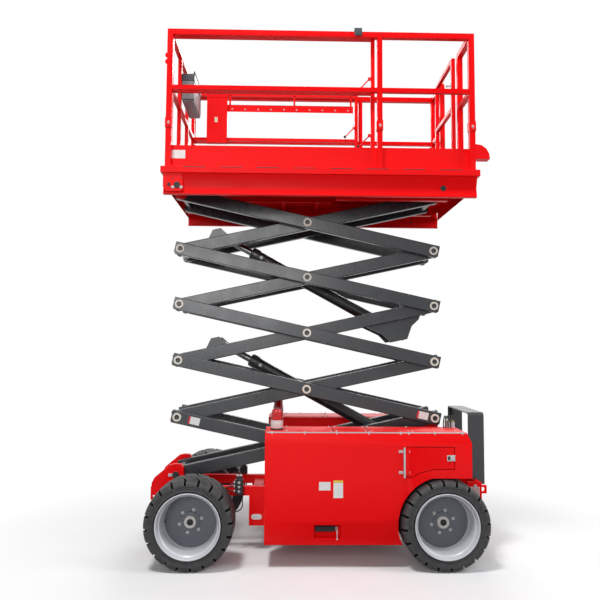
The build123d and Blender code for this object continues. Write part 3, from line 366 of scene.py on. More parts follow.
# -------- front pivot pins
# Hard pins through the two front ears, on which the lowest inner arms swing. Each is blackened
# steel, and a small zinc-plated keeper plate with one bolt stops it turning.
black = enamel("black_enamel", (0.012, 0.012, 0.013), (0.008, 0.008, 0.009), rough=0.34, gloss=0.42)
zinc = enamel("zinc_plate", (0.52, 0.53, 0.54), (0.40, 0.41, 0.42), rough=0.3, gloss=0.6, dust=0.08)
pivot = Vector(JOINT["lift"]["pos_m"])
EAR_FACE = 0.295
KEEPER_T = 0.006
PIN_HEAD = [(0, 0), (0, 0.031), (0.009, 0.031), (0.012, 0.028), (0.012, 0)]
pins, keepers = [], []
for side in (-1, 1):
    x, z = pivot.x, pivot.z
    pins.append(turned(PIN_HEAD, (x, side * EAR_FACE, z), "Y", side))
    keepers.append(beside(side, x - 0.066, x - 0.028, EAR_FACE, EAR_FACE + KEEPER_T, z - 0.014, z + 0.012))
    keepers += hex_bolt((x - 0.052, side * (EAR_FACE + KEEPER_T), z), "Y", side, 0.013)
shown("front_pivot_pins", pins, black, "chassis")
shown("pin_keepers", keepers, zinc, "chassis", 0.001)

# -------- valve block and pipes
# A drilled steel manifold bolted outside each rail, ahead of the covers, with zinc fittings.
# Hard black pipes along the rails carry the oil forward to the steering and down to the axles.
rubber_black = enamel("pipe_black", (0.010, 0.010, 0.011), (0.014, 0.014, 0.015), rough=0.45, gloss=0.3)
RAIL_FACE = 0.295
VALVE_T = 0.052
valve_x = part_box("left_cover")[0].x - 0.24
valves, fittings, pipes = [], [], []
for side in (-1, 1):
    for half, z0, z1 in ((0.036, 0.505, 0.640), (0.024, 0.640, 0.668)):
        valves.append(beside(side, valve_x - half, valve_x + half, RAIL_FACE, RAIL_FACE + VALVE_T, z0, z1))
    y = side * (RAIL_FACE + VALVE_T / 2)
    for x in (valve_x - 0.014, valve_x + 0.014):
        fittings += hex_bolt((x, y, 0.668), "Z", 1, 0.019)
    for z in (0.535, 0.575, 0.612):
        fittings += hex_bolt((valve_x - 0.036, y, z), "X", -1, 0.017)
        fittings += hex_bolt((valve_x, side * (RAIL_FACE + VALVE_T), z), "Y", side, 0.014)
    for k, z in enumerate((0.535, 0.575)):
        lane = side * (RAIL_FACE + 0.011 + 0.013 * k)
        pipes.append(swept([(valve_x - 0.046, y, z), (valve_x - 0.09, y, z), (valve_x - 0.13, lane, 0.545),
                            (-1.21, lane, 0.545), (-1.30, lane, 0.52)], 0.0055))
    y = side * (RAIL_FACE + 0.014)
    pipes.append(swept([(valve_x + 0.01, y, 0.507), (valve_x + 0.01, y, 0.41), (valve_x - 0.05, y, 0.37),
                        (valve_x - 0.13, y, 0.40), (valve_x - 0.16, y, 0.475)], 0.006, 0.05))
    pipes.append(swept([(valve_x + 0.028, y, 0.507), (valve_x + 0.03, y, 0.385), (valve_x - 0.02, y, 0.345),
                        (valve_x - 0.10, y, 0.36), (valve_x - 0.19, y, 0.475)], 0.005, 0.05))
shown("valve_blocks", valves, black, "chassis", 0.0025)
shown("valve_fittings", fittings, zinc, "chassis")
shown("frame_pipes", pipes, rubber_black, "chassis")

# -------- axles and steering
# Square axle beams with their forks and the drive housing, cast and machined, in black. The
# knuckles turn on kingpins, with grease nipples, and a round track rod joins their arms.
for node in ("front_axle", "rear_axle", "front_left_knuckle", "front_right_knuckle", "tie_rod"):
    eased(node, black, 0.003)
COVER_BOLTS, BOLT_RING = 10, 0.094      # on the drive cover
cover_bolts = []
cover_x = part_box("rear_axle")[0].x
axle_z = JOINT["rear_left_wheel_spin"]["pos_m"][2]
for i in range(COVER_BOLTS):
    a = 2 * math.pi * i / COVER_BOLTS
    spot = (cover_x, BOLT_RING * math.cos(a), axle_z + BOLT_RING * math.sin(a))
    cover_bolts += hex_bolt(spot, "X", -1, 0.013)
shown("drive_cover_bolts", cover_bolts, zinc, "chassis")
beam_bolts = []
for end in ("front", "rear"):
    x = JOINT[end + "_left_wheel_spin"]["pos_m"][0]
    for side in (-1, 1):
        for dx in (-0.032, 0.032):
            for dy in (-0.017, 0.017):
                beam_bolts += hex_bolt((x + dx, side * (0.265 + dy), axle_z - 0.055), "Z", -1, 0.016)
shown("axle_bolts", beam_bolts, zinc, "chassis")
NIPPLE = [(0, 0), (0, 0.005), (0.006, 0.005), (0.009, 0.0028), (0.012, 0.0036), (0.015, 0.0018), (0.015, 0)]
x, y, z = JOINT["steering"]["pos_m"]
for side, hand in ((-1, "left"), (1, "right")):
    nipple = turned(NIPPLE, (x - 0.028, side * abs(y), z + 0.0615), "Z", 1, 10)
    shown("kingpin_nipple_" + hand, [nipple], zinc, hand + "_knuckle")

# -------- wheels
# Deep-dished rims pressed and welded from steel plate, in silver enamel, with the disc set far
# back; the disc is given a dark grey paint as painted shade. Six zinc nuts hold it, and a machined hub stands out
# of its middle.
silver = enamel("silver_enamel", (0.57, 0.58, 0.61), (0.50, 0.51, 0.54), rough=0.30, gloss=0.5, dust=0.12,
                grime=(0.25, 0.24, 0.23))
disc_shade_paint = enamel("disc_painted_shade", (0.105, 0.115, 0.135), (0.080, 0.090, 0.105), rough=0.34, gloss=0.5,
                   dust=0.2, grime=(0.16, 0.15, 0.14))
bare = enamel("machined_steel", (0.58, 0.56, 0.52), (0.46, 0.44, 0.41), rough=0.32, gloss=0.6, dust=0.15)
DISC_Y = -0.010             # from the tyre's middle, outwards
DISC_R = 0.2135             # inside this the rim gets the disc's dark painted shade
NUTS = 6
NUT_RING = 0.095
STUD = [(0, 0), (0, 0.0055), (0.018, 0.0055), (0.020, 0.004), (0.020, 0)]
SPINDLE = [(0.0115, 0), (0.0115, 0.0262), (0.0135, 0.0262), (0.0150, 0.020), (0.0150, 0)]
VALVE = [(0, 0), (0, 0.005), (0.03, 0.005), (0.032, 0.0038), (0.038, 0.0038), (0.038, 0)]
LIP = [(0.160, 0.2470), (0.171, 0.2525), (0.178, 0.2550), (0.185, 0.2575), (0.1866, 0.2610), (0.1860, 0.2655),
       (0.1835, 0.2675), (0.1790, 0.2670), (0.1760, 0.2640)]
STEPS = [(0.150, 0.2455), (0.143, 0.2385), (0.138, 0.2345), (0.128, 0.2325), (0.100, 0.2300)]
HUB = [(0.004, 0.0785), (0.0055, 0.060), (0.0055, 0.0515), (0.031, 0.0505), (0.034, 0.047), (0.034, 0.030),
       (0.031, 0.0265), (0.012, 0.0265), (0.012, 0)]
FACE = [(0.040, 0.2240), (0.005, 0.2190), (-0.004, 0.2150), (DISC_Y, 0.2080), (DISC_Y, 0.190),
        (DISC_Y + 0.004, 0.130), (DISC_Y + 0.005, 0.082)]
BACK = [(0.010, 0), (0.010, 0.0305), (-0.070, 0.0305), (-0.070, 0.078), (DISC_Y - 0.014, 0.078),
        (DISC_Y - 0.014, 0.222), (-0.035, 0.2330)]


def rim_profile():
    """The whole section of a rim from its hub, round the outer lip, and back behind the disc."""
    front = [*HUB[::-1], *FACE[::-1], *STEPS[::-1], *LIP]
    rear = [(-y, r) for y, r in [*LIP[::-1], *STEPS]]
    return front + rear + BACK[::-1]


for name in ("front_left", "front_right", "rear_left", "rear_right"):
    x, y, z = JOINT[name + "_wheel_spin"]["pos_m"]
    way = -1 if y < 0 else 1
    rim = shown(name + "_dish", [turned(rim_profile(), (x, y, z), "Y", way, 72)], silver, name + "_wheel",
                corner=28)
    rim.data.materials.append(disc_shade_paint)
    rim.data.materials.append(bare)
    for face in rim.data.polygons:
        out_y = (face.center.y - y) * way
        radius = math.hypot(face.center.x - x, face.center.z - z)
        # Faces of the recessed disc take the dark grey: painted shade, not a different paint.
        if radius < DISC_R and out_y > -0.09:
            face.material_index = 1
        if 0.027 < radius < 0.052 and out_y > 0.006:
            face.material_index = 2
    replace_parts(rim, name + "_rim")
    nuts = []
    for i in range(NUTS):
        a = 2 * math.pi * (i + 0.25) / NUTS
        spot = (x + NUT_RING * math.cos(a), y + way * (DISC_Y + 0.004), z + NUT_RING * math.sin(a))
        nuts += hex_bolt(spot, "Y", way, 0.017)
        nuts.append(turned(STUD, spot, "Y", way, 12))
    shown(name + "_nuts", nuts, zinc, name + "_wheel")
    spindle = [turned(SPINDLE, (x, y, z), "Y", way, 32), *hex_bolt((x, y + way * 0.0150, z), "Y", way, 0.018)]
    shown(name + "_spindle_nut", spindle, black, name + "_wheel")
    valve = turned(VALVE, (x - 0.21, y + way * DISC_Y, z), "Y", way, 12)
    shown(name + "_valve", [valve], black, name + "_wheel")

# -------- tyres
# Solid rubber tyres with twenty lugs a side. The grooves start as deep notches in the shoulders,
# curve over the tread and thin out towards its middle, and two raised bead lines ring each wall.
TREAD_R = 0.3675
LUGS = 20
LUG_POINTS = 9              # along the tread from one groove to the next
WALL = [(0.2560, 0.1500), (0.2690, 0.1640), (0.2735, 0.1720), (0.2790, 0.1770), (0.2835, 0.1795),
        (0.2875, 0.1768), (0.2960, 0.1768), (0.3010, 0.1772), (0.3040, 0.1796), (0.3070, 0.1772),
        (0.3140, 0.1782), (0.3200, 0.1797), (0.3235, 0.1800), (0.3260, 0.1798)]
SHOULDER = [(0.3290, 0.1794), (0.3390, 0.1772), (0.3480, 0.1728), (0.3560, 0.1655), (0.3612, 0.1560),
            (0.3640, 0.1430)]
CROWN = [(0.3652, 0.1260), (0.3662, 0.1060), (0.3669, 0.0840), (0.3673, 0.0600), (0.3675, 0.0350),
         (0.3675, 0.0120)]


def tyre(at):
    """Corners and faces of one tyre: rings of points from bead to bead, sunk where a groove runs."""
    half = [(r, y, 0.0) for r, y in WALL] + [(r, y, 1.0) for r, y in SHOULDER]
    half += [(r, y, 0.45 + 0.55 * y / 0.126) for r, y in CROWN]
    half[len(WALL)] = (*half[len(WALL)][:2], 0.55)
    rows = half + [(r, -y, deep) for r, y, deep in half[::-1]]
    pitch = 2 * math.pi / LUGS
    verts, faces = [], []
    for i, (r, y, deep) in enumerate(rows):
        before, after = rows[max(i - 1, 0)], rows[min(i + 1, len(rows) - 1)]
        slope = Vector((after[0] - before[0], after[1] - before[1])).normalized()
        inward = Vector((slope.y, -slope.x))
        reach = min(abs(y) / 0.150, 1.0)
        shift = math.copysign(0.75 * pitch * (1 - (1 - reach) ** 2), y)
        width = 0.0110 + 0.0090 * reach ** 2
        depth = (0.0130 + 0.0130 * reach ** 3) * deep
        stops = [-width / 2, 0.0022 - width / 2, width / 2 - 0.0022, width / 2]
        land = pitch * TREAD_R - width
        stops += [width / 2 + land * k / 6 for k in range(1, 6)]
        for lug in range(LUGS):
            for k, stop in enumerate(stops):
                sunk = depth if k in (1, 2) else 0.0
                a = lug * pitch + stop / TREAD_R + shift
                rr, yy = r + inward.x * sunk, y + inward.y * sunk
                verts.append((at[0] + rr * math.cos(a), at[1] + yy, at[2] + rr * math.sin(a)))
    count = LUGS * LUG_POINTS
    for i in range(len(rows)):
        low, high = i * count, (i + 1) % len(rows) * count
        for k in range(count):
            j = (k + 1) % count
            faces.append((low + k, low + j, high + j, high + k))
    return verts, faces


def tyre_rubber():
    """Dark grey rubber, scuffed paler on the tread, with painted shade darkening it in its hollows and grooves."""
    material = bpy.data.materials.new("tyre_rubber")
    net = graph(material)
    scuff = net.add("ValToRGB")
    dark, scuffed = scuff.color_ramp.elements
    dark.position, dark.color = 0.35, (0.022, 0.022, 0.023, 1)
    scuffed.position, scuffed.color = 0.72, (0.050, 0.050, 0.052, 1)
    net.link(net.noise(Scale=22.0, Detail=8.0, Roughness=0.7), scuff.inputs["Fac"])
    curve = net.add("NewGeometry").outputs["Pointiness"]
    # Concave places are darkened to near black: painted shade in the hollows.
    deep = net.scaled(curve, 0.40, 0.49, 0.75, 0.0)
    shaded_hollows = net.blend(deep, scuff.outputs["Color"], (0.0015, 0.0015, 0.0015))
    rubbed = net.blend(net.scaled(curve, 0.51, 0.60, 0.0, 0.7), shaded_hollows, (0.085, 0.083, 0.082))
    bump = net.add("Bump", Strength=0.25, Distance=0.003)
    net.link(net.noise(Scale=260.0, Detail=3.0), bump.inputs["Height"])
    shader = net.add("BsdfPrincipled", Roughness=0.6, Specular_IOR_Level=0.35)
    net.link(rubbed, shader.inputs["Base Color"])
    net.link(bump.outputs["Normal"], shader.inputs["Normal"])
    net.show(shader.outputs[0])
    return material


rubber = tyre_rubber()
# Near-black rubber on the groove walls and bottoms: painted shade in the grooves.
groove_painted_shade = enamel("groove_painted_shade", (0.0045, 0.0045, 0.0050), (0.0030, 0.0030, 0.0032), rough=0.75,
                       gloss=0.10, dust=0.10, grime=(0.030, 0.028, 0.026))
for name in ("front_left", "front_right", "rear_left", "rear_right"):
    piece = shown(name + "_tread", [tyre(JOINT[name + "_wheel_spin"]["pos_m"])], rubber, name + "_wheel",
                  corner=40)
    piece.data.materials.append(groove_painted_shade)
    around = LUGS * LUG_POINTS
    first_row, last_row = len(WALL) - 1, 2 * (len(WALL) + len(SHOULDER) + len(CROWN)) - len(WALL)
    # The groove faces take the painted shade.
    for face in piece.data.polygons:
        row, k = divmod(face.index, around)
        if first_row <= row < last_row and k % LUG_POINTS < 3:
            face.material_index = 1
    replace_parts(piece, name + "_tyre")

# -------- power pack
# The engine, pump and battery stand behind the left cover and the oil tank behind the right one.
# They show only as dark castings, with ribs and a filler neck, through the gaps under the covers.
cast = enamel("cast_grey", (0.055, 0.056, 0.060), (0.038, 0.039, 0.042), rough=0.6, gloss=0.3, peel=0.25)
NECK = [(0, 0), (0, 0.034), (0.028, 0.034), (0.028, 0.042), (0.046, 0.042), (0.05, 0.036), (0.05, 0)]
for node in ("engine_block", "hydraulic_tank"):
    eased(node, cast, 0.006)
    low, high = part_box(node)
    ribs = [block(x, x + 0.012, low.y + 0.02, high.y - 0.02, high.z - 0.002, high.z + 0.014)
            for x in (low.x + 0.06 * k for k in range(1, 12))]
    ribs.append(turned(NECK, (high.x - 0.072, (low.y + high.y) / 2, high.z - 0.001), "Z", 1, 24))
    shown(node + "_ribs", ribs, cast, "chassis", 0.002)

# -------- side covers
# Folded-sheet covers over the power pack, one each side, in gloss red. A zinc edging strip is
# bolted along the top fold, loose lids lie on the top, and two blank vinyl labels are stuck on.
def vinyl(name, paint):
    """Printed-label vinyl: nearly even colour, a faint mottle and a smooth satin face."""
    return mottled(name, {"Scale": 35.0, "Detail": 4.0}, paint, tuple(c * 0.86 for c in paint),
                   Roughness=0.38, Specular_IOR_Level=0.3)


label_white = vinyl("label_white", (0.74, 0.74, 0.73))
label_yellow = vinyl("label_yellow", (0.74, 0.55, 0.08))
COVER_FACE = 0.81           # of both covers, out from the middle
FOLD = COVER_FACE - 0.022   # the top fold leans in
LID_EDGE = 0.425            # inner edge of the lids
LABEL_T = 0.0008
EDGING_BOLTS = (-0.382, -0.112, 0.156, 0.425, 0.690, 0.757, 0.976, 1.206)
BOLT_DOME = [(0, 0), (0, 0.0075), (0.003, 0.0075), (0.0055, 0.0055), (0.0066, 0.002), (0.0066, 0)]
for side, hand in ((-1, "left"), (1, "right")):
    eased(hand + "_cover", red, 0.004, split=True)
    low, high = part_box(hand + "_cover")
    x0, x1, top = low.x + 0.012, high.x - 0.05, high.z
    edging = [beside(side, x0, x1, FOLD - 0.016, FOLD + 0.0035, top, top + 0.0022),
              beside(side, x0, x1, FOLD + 0.001, FOLD + 0.0035, top - 0.006, top + 0.001)]
    for x in EDGING_BOLTS:
        tab = (x - 0.005, x + 0.005, FOLD + 0.0015, FOLD + 0.0060, top - 0.016, top - 0.002)
        edging.append(beside(side, *tab))
        edging.append(turned(BOLT_DOME, (x, side * (FOLD - 0.007), top + 0.002), "Z", 1, 12))
    shown(hand + "_cover_edging", edging, zinc, "chassis", 0.0008)
    lids = [beside(side, x0, x1, FOLD - 0.034, LID_EDGE, top - 0.001, top + 0.004)
            for x0, x1 in ((low.x + 0.16, 0.132), (0.139, 0.427), (0.434, high.x - 0.10))]
    shown(hand + "_cover_lids", lids, red, "chassis", 0.0015)
    seals = [beside(side, x - 0.0028, x + 0.0028, FOLD - 0.018, LID_EDGE, top - 0.001, top + 0.0034)
             for x in (0.1355, 0.4305)]
    shown(hand + "_lid_seals", seals, rubber_black, "chassis", 0.0006)
    lid_bolts = []
    for x in (low.x + 0.18, 0.112, 0.159, 0.407, 0.454, 0.80, high.x - 0.12):
        for y in (FOLD - 0.055, LID_EDGE + 0.020):
            lid_bolts += hex_bolt((x, side * y, top + 0.004), "Z", 1, 0.010)
    shown(hand + "_lid_bolts", lid_bolts, zinc, "chassis")
    whites = [beside(side, x0, x1, COVER_FACE, COVER_FACE + LABEL_T, z0, z1)
              for x0, x1, z0, z1 in ((0.009, 0.104, 0.647, 0.715), (0.128, 0.207, 0.586, 0.708))]
    yellow = beside(side, 0.128, 0.207, COVER_FACE, COVER_FACE + LABEL_T, 0.7085, 0.728)
    shown(hand + "_cover_labels", whites, label_white, "chassis")
    shown(hand + "_cover_label_head", [yellow], label_yellow, "chassis")

# -------- step pockets
# The pocket low on each cover holds a black rubber kick pad and the lever of the battery switch,
# whose thin steel stem hangs past the pocket's lower edge.
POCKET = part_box("left_cover")[0].x + 0.409
POCKET_BACK = COVER_FACE - 0.078
KNOB = [(0, 0), (0, 0.006), (0.012, 0.006), (0.014, 0.004), (0.014, 0)]
for side, hand in ((-1, "left"), (1, "right")):
    pads = [beside(side, POCKET + 0.012, POCKET + 0.178, POCKET_BACK, POCKET_BACK + 0.02, 0.300, 0.344)]
    for k in range(7):
        x = POCKET + 0.022 + 0.022 * k
        pads.append(beside(side, x, x + 0.013, POCKET_BACK + 0.018, POCKET_BACK + 0.034, 0.304, 0.340))
    shown(hand + "_pocket_pad", pads, rubber_black, "chassis", 0.002)
    x, out_y = POCKET + 0.190, side * (COVER_FACE - 0.004)
    stem = [swept([(x, side * POCKET_BACK, 0.322), (x, side * (COVER_FACE - 0.02), 0.322), (x, out_y, 0.30),
                   (x, out_y, 0.258)], 0.0032, 0.015, 8),
            turned(KNOB, (x, out_y, 0.248), "Z", 1, 12)]
    stem += hex_bolt((x, side * (POCKET_BACK + 0.001), 0.322), "Y", side, 0.016)
    shown(hand + "_switch_lever", stem, zinc, "chassis")

# -------- hatch doors
# A flush door in the rear of each cover, hung on a bright steel rod in two bolted brackets and
# closed by a zinc paddle latch set in a black cup.
HINGE_HEIGHTS = (0.042, 0.212)          # up the rod
LEAF_T = 0.0025
HINGE_ROD = [(0, 0), (0, 0.0085), (0.251, 0.0085), (0.251, 0)]
LATCH_Z = 0.887
for side, hand in ((-1, "left"), (1, "right")):
    eased(hand + "_hatch", red, 0.0016)
    hinge = Vector(JOINT[hand + "_hatch_hinge"]["pos_m"])
    low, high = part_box(hand + "_hatch")
    rod = turned(HINGE_ROD, (hinge.x, hinge.y, low.z), "Z", 1, 18)
    shown(hand + "_hinge_rod", [rod], zinc, hand + "_door", 0.0008)
    for way, name, body in ((1, "_hinge_leaves", hand + "_door"), (-1, "_hinge_guards", "chassis")):
        leaves = []
        for z in (low.z + up for up in HINGE_HEIGHTS):
            x0, x1 = sorted((hinge.x + way * 0.012, hinge.x + way * 0.046))
            leaves.append(beside(side, x0, x1, COVER_FACE, COVER_FACE + LEAF_T, z - 0.011, z + 0.011))
            leaves += hex_bolt((hinge.x + way * 0.036, side * (COVER_FACE + LEAF_T), z), "Y", side, 0.009)
        shown(hand + name, leaves, zinc, body, 0.0006)
    x, y, z = high.x - 0.060, COVER_FACE, LATCH_Z
    paddle = [beside(side, x, x + 0.067, y, y + 0.004, z, z + 0.049),
              beside(side, x + 0.029, x + 0.061, y + 0.003, y + 0.009, z + 0.009, z + 0.040)]
    shown(hand + "_latch", paddle, zinc, hand + "_door", 0.0015)
    cup = beside(side, x + 0.007, x + 0.025, y + 0.0035, y + 0.0045, z + 0.009, z + 0.040)
    shown(hand + "_latch_cup", [cup], rubber_black, hand + "_door")

# -------- beacons
# Two flashing beacons on the covers: white moulded cups on a rubber foot, and clear red domes
# with fine rings moulded round their sides.
white_plastic = vinyl("white_plastic", (0.70, 0.70, 0.69))
beacon_glass = mottled("beacon_red", {"Scale": 60.0, "Detail": 2.0}, (0.70, 0.006, 0.010),
                       (0.55, 0.004, 0.008), Roughness=0.10, IOR=1.49, Specular_IOR_Level=0.5,
                       Transmission_Weight=0.22, Coat_Weight=0.25)
base_low, base_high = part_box("beacon_bases")
lens_low, lens_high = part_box("beacon_lenses")
beacon_x = (base_low.x + base_high.x) / 2
beacon_y = base_high.y - (base_high.x - base_low.x) / 2
cup_h, lens_h = base_high.z - base_low.z, lens_high.z - lens_low.z
cups, feet, lenses = [], [], []
for y in (-beacon_y, beacon_y):
    cups.append(turned([(0.012, 0), (0.012, 0.050), (0.016, 0.052), (cup_h - 0.022, 0.0535),
                        (cup_h - 0.018, 0.0535), (cup_h - 0.016, 0.0520), (cup_h - 0.010, 0.0520),
                        (cup_h - 0.008, 0.0538), (cup_h - 0.001, 0.0538), (cup_h, 0.0525), (cup_h, 0)],
                       (beacon_x, y, base_low.z), "Z", 1, 48))
    feet.append(turned([(0, 0), (0, 0.0535), (0.010, 0.0535), (0.012, 0.051), (0.012, 0)],
                       (beacon_x, y, base_low.z), "Z", 1, 48))
    dome = [(0, 0), (0, 0.0525), (0.008, 0.0525), (0.010, 0.0495)]
    for k in range(7):
        dome += [(0.012 + 0.0078 * k, 0.0502 - 0.0005 * k), (0.0165 + 0.0078 * k, 0.0474 - 0.0005 * k)]
    top = lens_h - 0.030
    for k in range(1, 8):
        a = math.pi / 2 * k / 8
        dome.append((top + 0.030 * math.sin(a), 0.018 + 0.028 * math.cos(a)))
    dome += [(lens_h, 0.012), (lens_h, 0)]
    lenses.append(turned(dome, (beacon_x, y, lens_low.z), "Z", 1, 48))
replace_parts(shown("beacon_cups", cups, white_plastic, "chassis"), "beacon_bases")
shown("beacon_feet", feet, rubber_black, "chassis")
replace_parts(shown("beacon_domes", lenses, beacon_glass, "chassis", corner=25), "beacon_lenses")

# -------- rear bumper and lamps
# A box beam bolted to the rails, with cheeks cut out for a rear lamp each side. The lamps are
# moulded in pale smoked plastic with fine ridges, in a bright pressed bezel.
lamp_plastic = vinyl("lamp_plastic", (0.62, 0.40, 0.38))
eased("rear_bumper", red, 0.004)
CHEEK = 0.505
lamp_x, lamp_z = frame_high.x + 0.052, 0.528
BEZEL = ((-0.006, 0.002, -0.006, 0.086), (0.068, 0.076, -0.006, 0.086), (0.002, 0.068, -0.006, 0.002),
         (0.002, 0.068, 0.078, 0.086))
shells, bezels, bars, bolts = [], [], [], []
for side in (-1, 1):
    shells.append(beside(side, lamp_x + 0.001, lamp_x + 0.069, CHEEK - 0.034, CHEEK + 0.001,
                         lamp_z + 0.001, lamp_z + 0.079))
    for x0, x1, z0, z1 in BEZEL:
        bezels.append(beside(side, lamp_x + x0, lamp_x + x1, CHEEK, CHEEK + 0.005, lamp_z + z0, lamp_z + z1))
    for k in range(9):
        z = lamp_z + 0.005 + 0.008 * k
        bars.append(beside(side, lamp_x + 0.004, lamp_x + 0.066, CHEEK + 0.0005, CHEEK + 0.0035,
                           z, z + 0.005))
    for x, z in ((0.014, 0.621), (0.092, 0.624), (0.092, 0.510)):
        bolts += hex_bolt((frame_high.x + x, side * CHEEK, z), "Y", side, 0.015)
shown("rear_lamp_shells", shells, lamp_plastic, "chassis", 0.001)
shown("rear_lamp_bars", bars, lamp_plastic, "chassis", 0.0012)
shown("rear_lamp_bezels", bezels + bolts, zinc, "chassis", 0.0006)

# -------- rear steps
# A portal of folded charcoal plate over two treads. The treads have rows of raised grip studs,
# and gussets stiffen the portal's top corners.
charcoal = enamel("charcoal_enamel", (0.024, 0.027, 0.032), (0.017, 0.019, 0.023), rough=0.27, gloss=0.55,
                  dust=0.10, grime=(0.10, 0.095, 0.09))
eased("ladder", charcoal, 0.003)
step_low, step_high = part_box("ladder")
STUD_PITCH = 0.032
GRIP_STUD = [(0, 0.008), (0.002, 0.008), (0.005, 0.0045), (0.005, 0)]
studs, gussets = [], []
for tread_top in (0.736, 0.986):
    for row in range(3):
        for k in range(21):
            y = STUD_PITCH * (k - 10 + 0.5 * (row % 2))
            spot = (step_low.x + 0.035 + 0.034 * row, y, tread_top - 0.0002)
            studs.append(turned(GRIP_STUD, spot, "Z", 1, 8))
x, top = step_low.x + 0.03, step_high.z - 0.012
for side in (-1, 1):
    y = side * (step_high.y - 0.012)
    gussets.append(plate([(y, top), (y - side * 0.12, top), (y, top - 0.16)], x, x + 0.005, "X"))
shown("step_studs", studs, charcoal, "chassis")
shown("step_gussets", gussets, charcoal, "chassis", 0.001)

# -------- hose couplings
# Yellow-passivated steel couplings on a small bracket at the rear of the left cover, where the
# lines to the arms start, with short formed pipes down into the cover.
passivated = enamel("yellow_zinc", (0.42, 0.40, 0.10), (0.30, 0.31, 0.09), rough=0.3, gloss=0.6)
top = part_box("left_cover")[1].z
COUPLING_Y = -0.428
COUPLING = [(0, 0), (0, 0.0075), (0.022, 0.0075), (0.022, 0.0095), (0.034, 0.0095), (0.036, 0.006),
            (0.05, 0.006), (0.05, 0)]
couplings, stubs = [], []
bracket = [block(1.145, 1.232, -0.452, -0.400, top, top + 0.006),
           block(1.145, 1.232, -0.452, -0.446, top + 0.005, top + 0.050)]
for k in range(4):
    x, y = 1.157 + 0.021 * k, COUPLING_Y
    couplings += hex_bolt((x, y, top + 0.006), "Z", 1, 0.019)
    couplings.append(turned(COUPLING, (x, y, top + 0.02), "Z", 1, 12))
    couplings += hex_bolt((x, y, top + 0.052), "Z", 1, 0.016)
    stubs.append(swept([(x, y, top + 0.06), (x, y, top + 0.098), (x - 0.012, y - 0.020, top + 0.108),
                        (x - 0.03, y - 0.047, top + 0.07), (x - 0.034, y - 0.054, top + 0.002)],
                       0.0055, 0.02, 8))
shown("coupling_bracket", bracket, zinc, "chassis", 0.001)
shown("hose_couplings", couplings, passivated, "chassis")
shown("coupling_pipes", stubs, rubber_black, "chassis")

# -------- scissor arms
# Five levels of crossed arms of rectangular steel tube, with cross tubes and the cylinders'
# plates welded on, in satin charcoal. Pale machined rings retain the pins on the outer faces.
ring_steel = enamel("ring_steel", (0.66, 0.62, 0.54), (0.56, 0.52, 0.45), rough=0.35, gloss=0.4, dust=0.1)
ARM_FACE = 0.300
centre = Vector(JOINT["centre_pin_1"]["pos_m"])
half_arm = centre - pivot
RING = [(0, 0.0395), (0.006, 0.0395), (0.008, 0.0375), (0.008, 0.0232), (0.0064, 0.0222), (0.0064, 0.0252),
        (0, 0.0252)]
CAP = [(0.0055, 0), (0.0055, 0.0222), (0.0068, 0.0222), (0.0074, 0.0205), (0.0062, 0.008), (0.0048, 0.006),
       (0.0048, 0)]
for level in range(1, 6):
    eased(f"inner_arms_{level}", charcoal, 0.002)
    eased(f"outer_arms_{level}", charcoal, 0.002)
    middle = centre + Vector((0, 0, 2 * half_arm.z * (level - 1)))
    spots = [middle]
    if level < 5:
        spots.append(middle + Vector((-half_arm.x, 0, half_arm.z)))
    if level > 1:
        spots.append(middle + Vector((half_arm.x, 0, -half_arm.z)))
    rings, caps = [], []
    for spot in spots:
        for side in (-1, 1):
            rings.append(turned(RING, (spot.x, side * ARM_FACE, spot.z), "Y", side, 32))
            caps.append(turned(CAP, (spot.x, side * ARM_FACE, spot.z), "Y", side, 24))
    shown(f"pin_rings_{level}", rings, ring_steel, f"outer_{level}")
    shown(f"pin_caps_{level}", caps, black, f"outer_{level}")


def placed(parts, matrix):
    """Parts moved from the frame that they are drawn in to their place on the machine."""
    return [([tuple(matrix @ Vector(v)) for v in verts], faces) for verts, faces in parts]


# -------- arm labels
# Small blank vinyl labels with a red edge, stuck on the outer arms of the two lowest levels.
# They lie along the arm, near its front end below and near its rear end above.
label_red = vinyl("label_red", (0.62, 0.02, 0.03))
slope = math.atan2(half_arm.z, half_arm.x)
for level, x in ((1, -1.098), (2, 0.979)):
    middle = centre + Vector((0, 0, 2 * half_arm.z * (level - 1)))
    along = (x - middle.x) / math.cos(slope)
    lie = Matrix.Translation(middle) @ Matrix.Rotation(slope, 4, "Y")
    faces, edges = [], []
    for side in (-1, 1):
        faces.append(beside(side, along - 0.036, along + 0.052, ARM_FACE, ARM_FACE + 0.0007, -0.032, 0.034))
        edges.append(beside(side, along - 0.052, along - 0.0365, ARM_FACE, ARM_FACE + 0.0007, -0.032, 0.034))
    shown(f"arm_labels_{level}", placed(faces, lie), label_white, f"outer_{level}")
    shown(f"arm_label_edges_{level}", placed(edges, lie), label_red, f"outer_{level}")
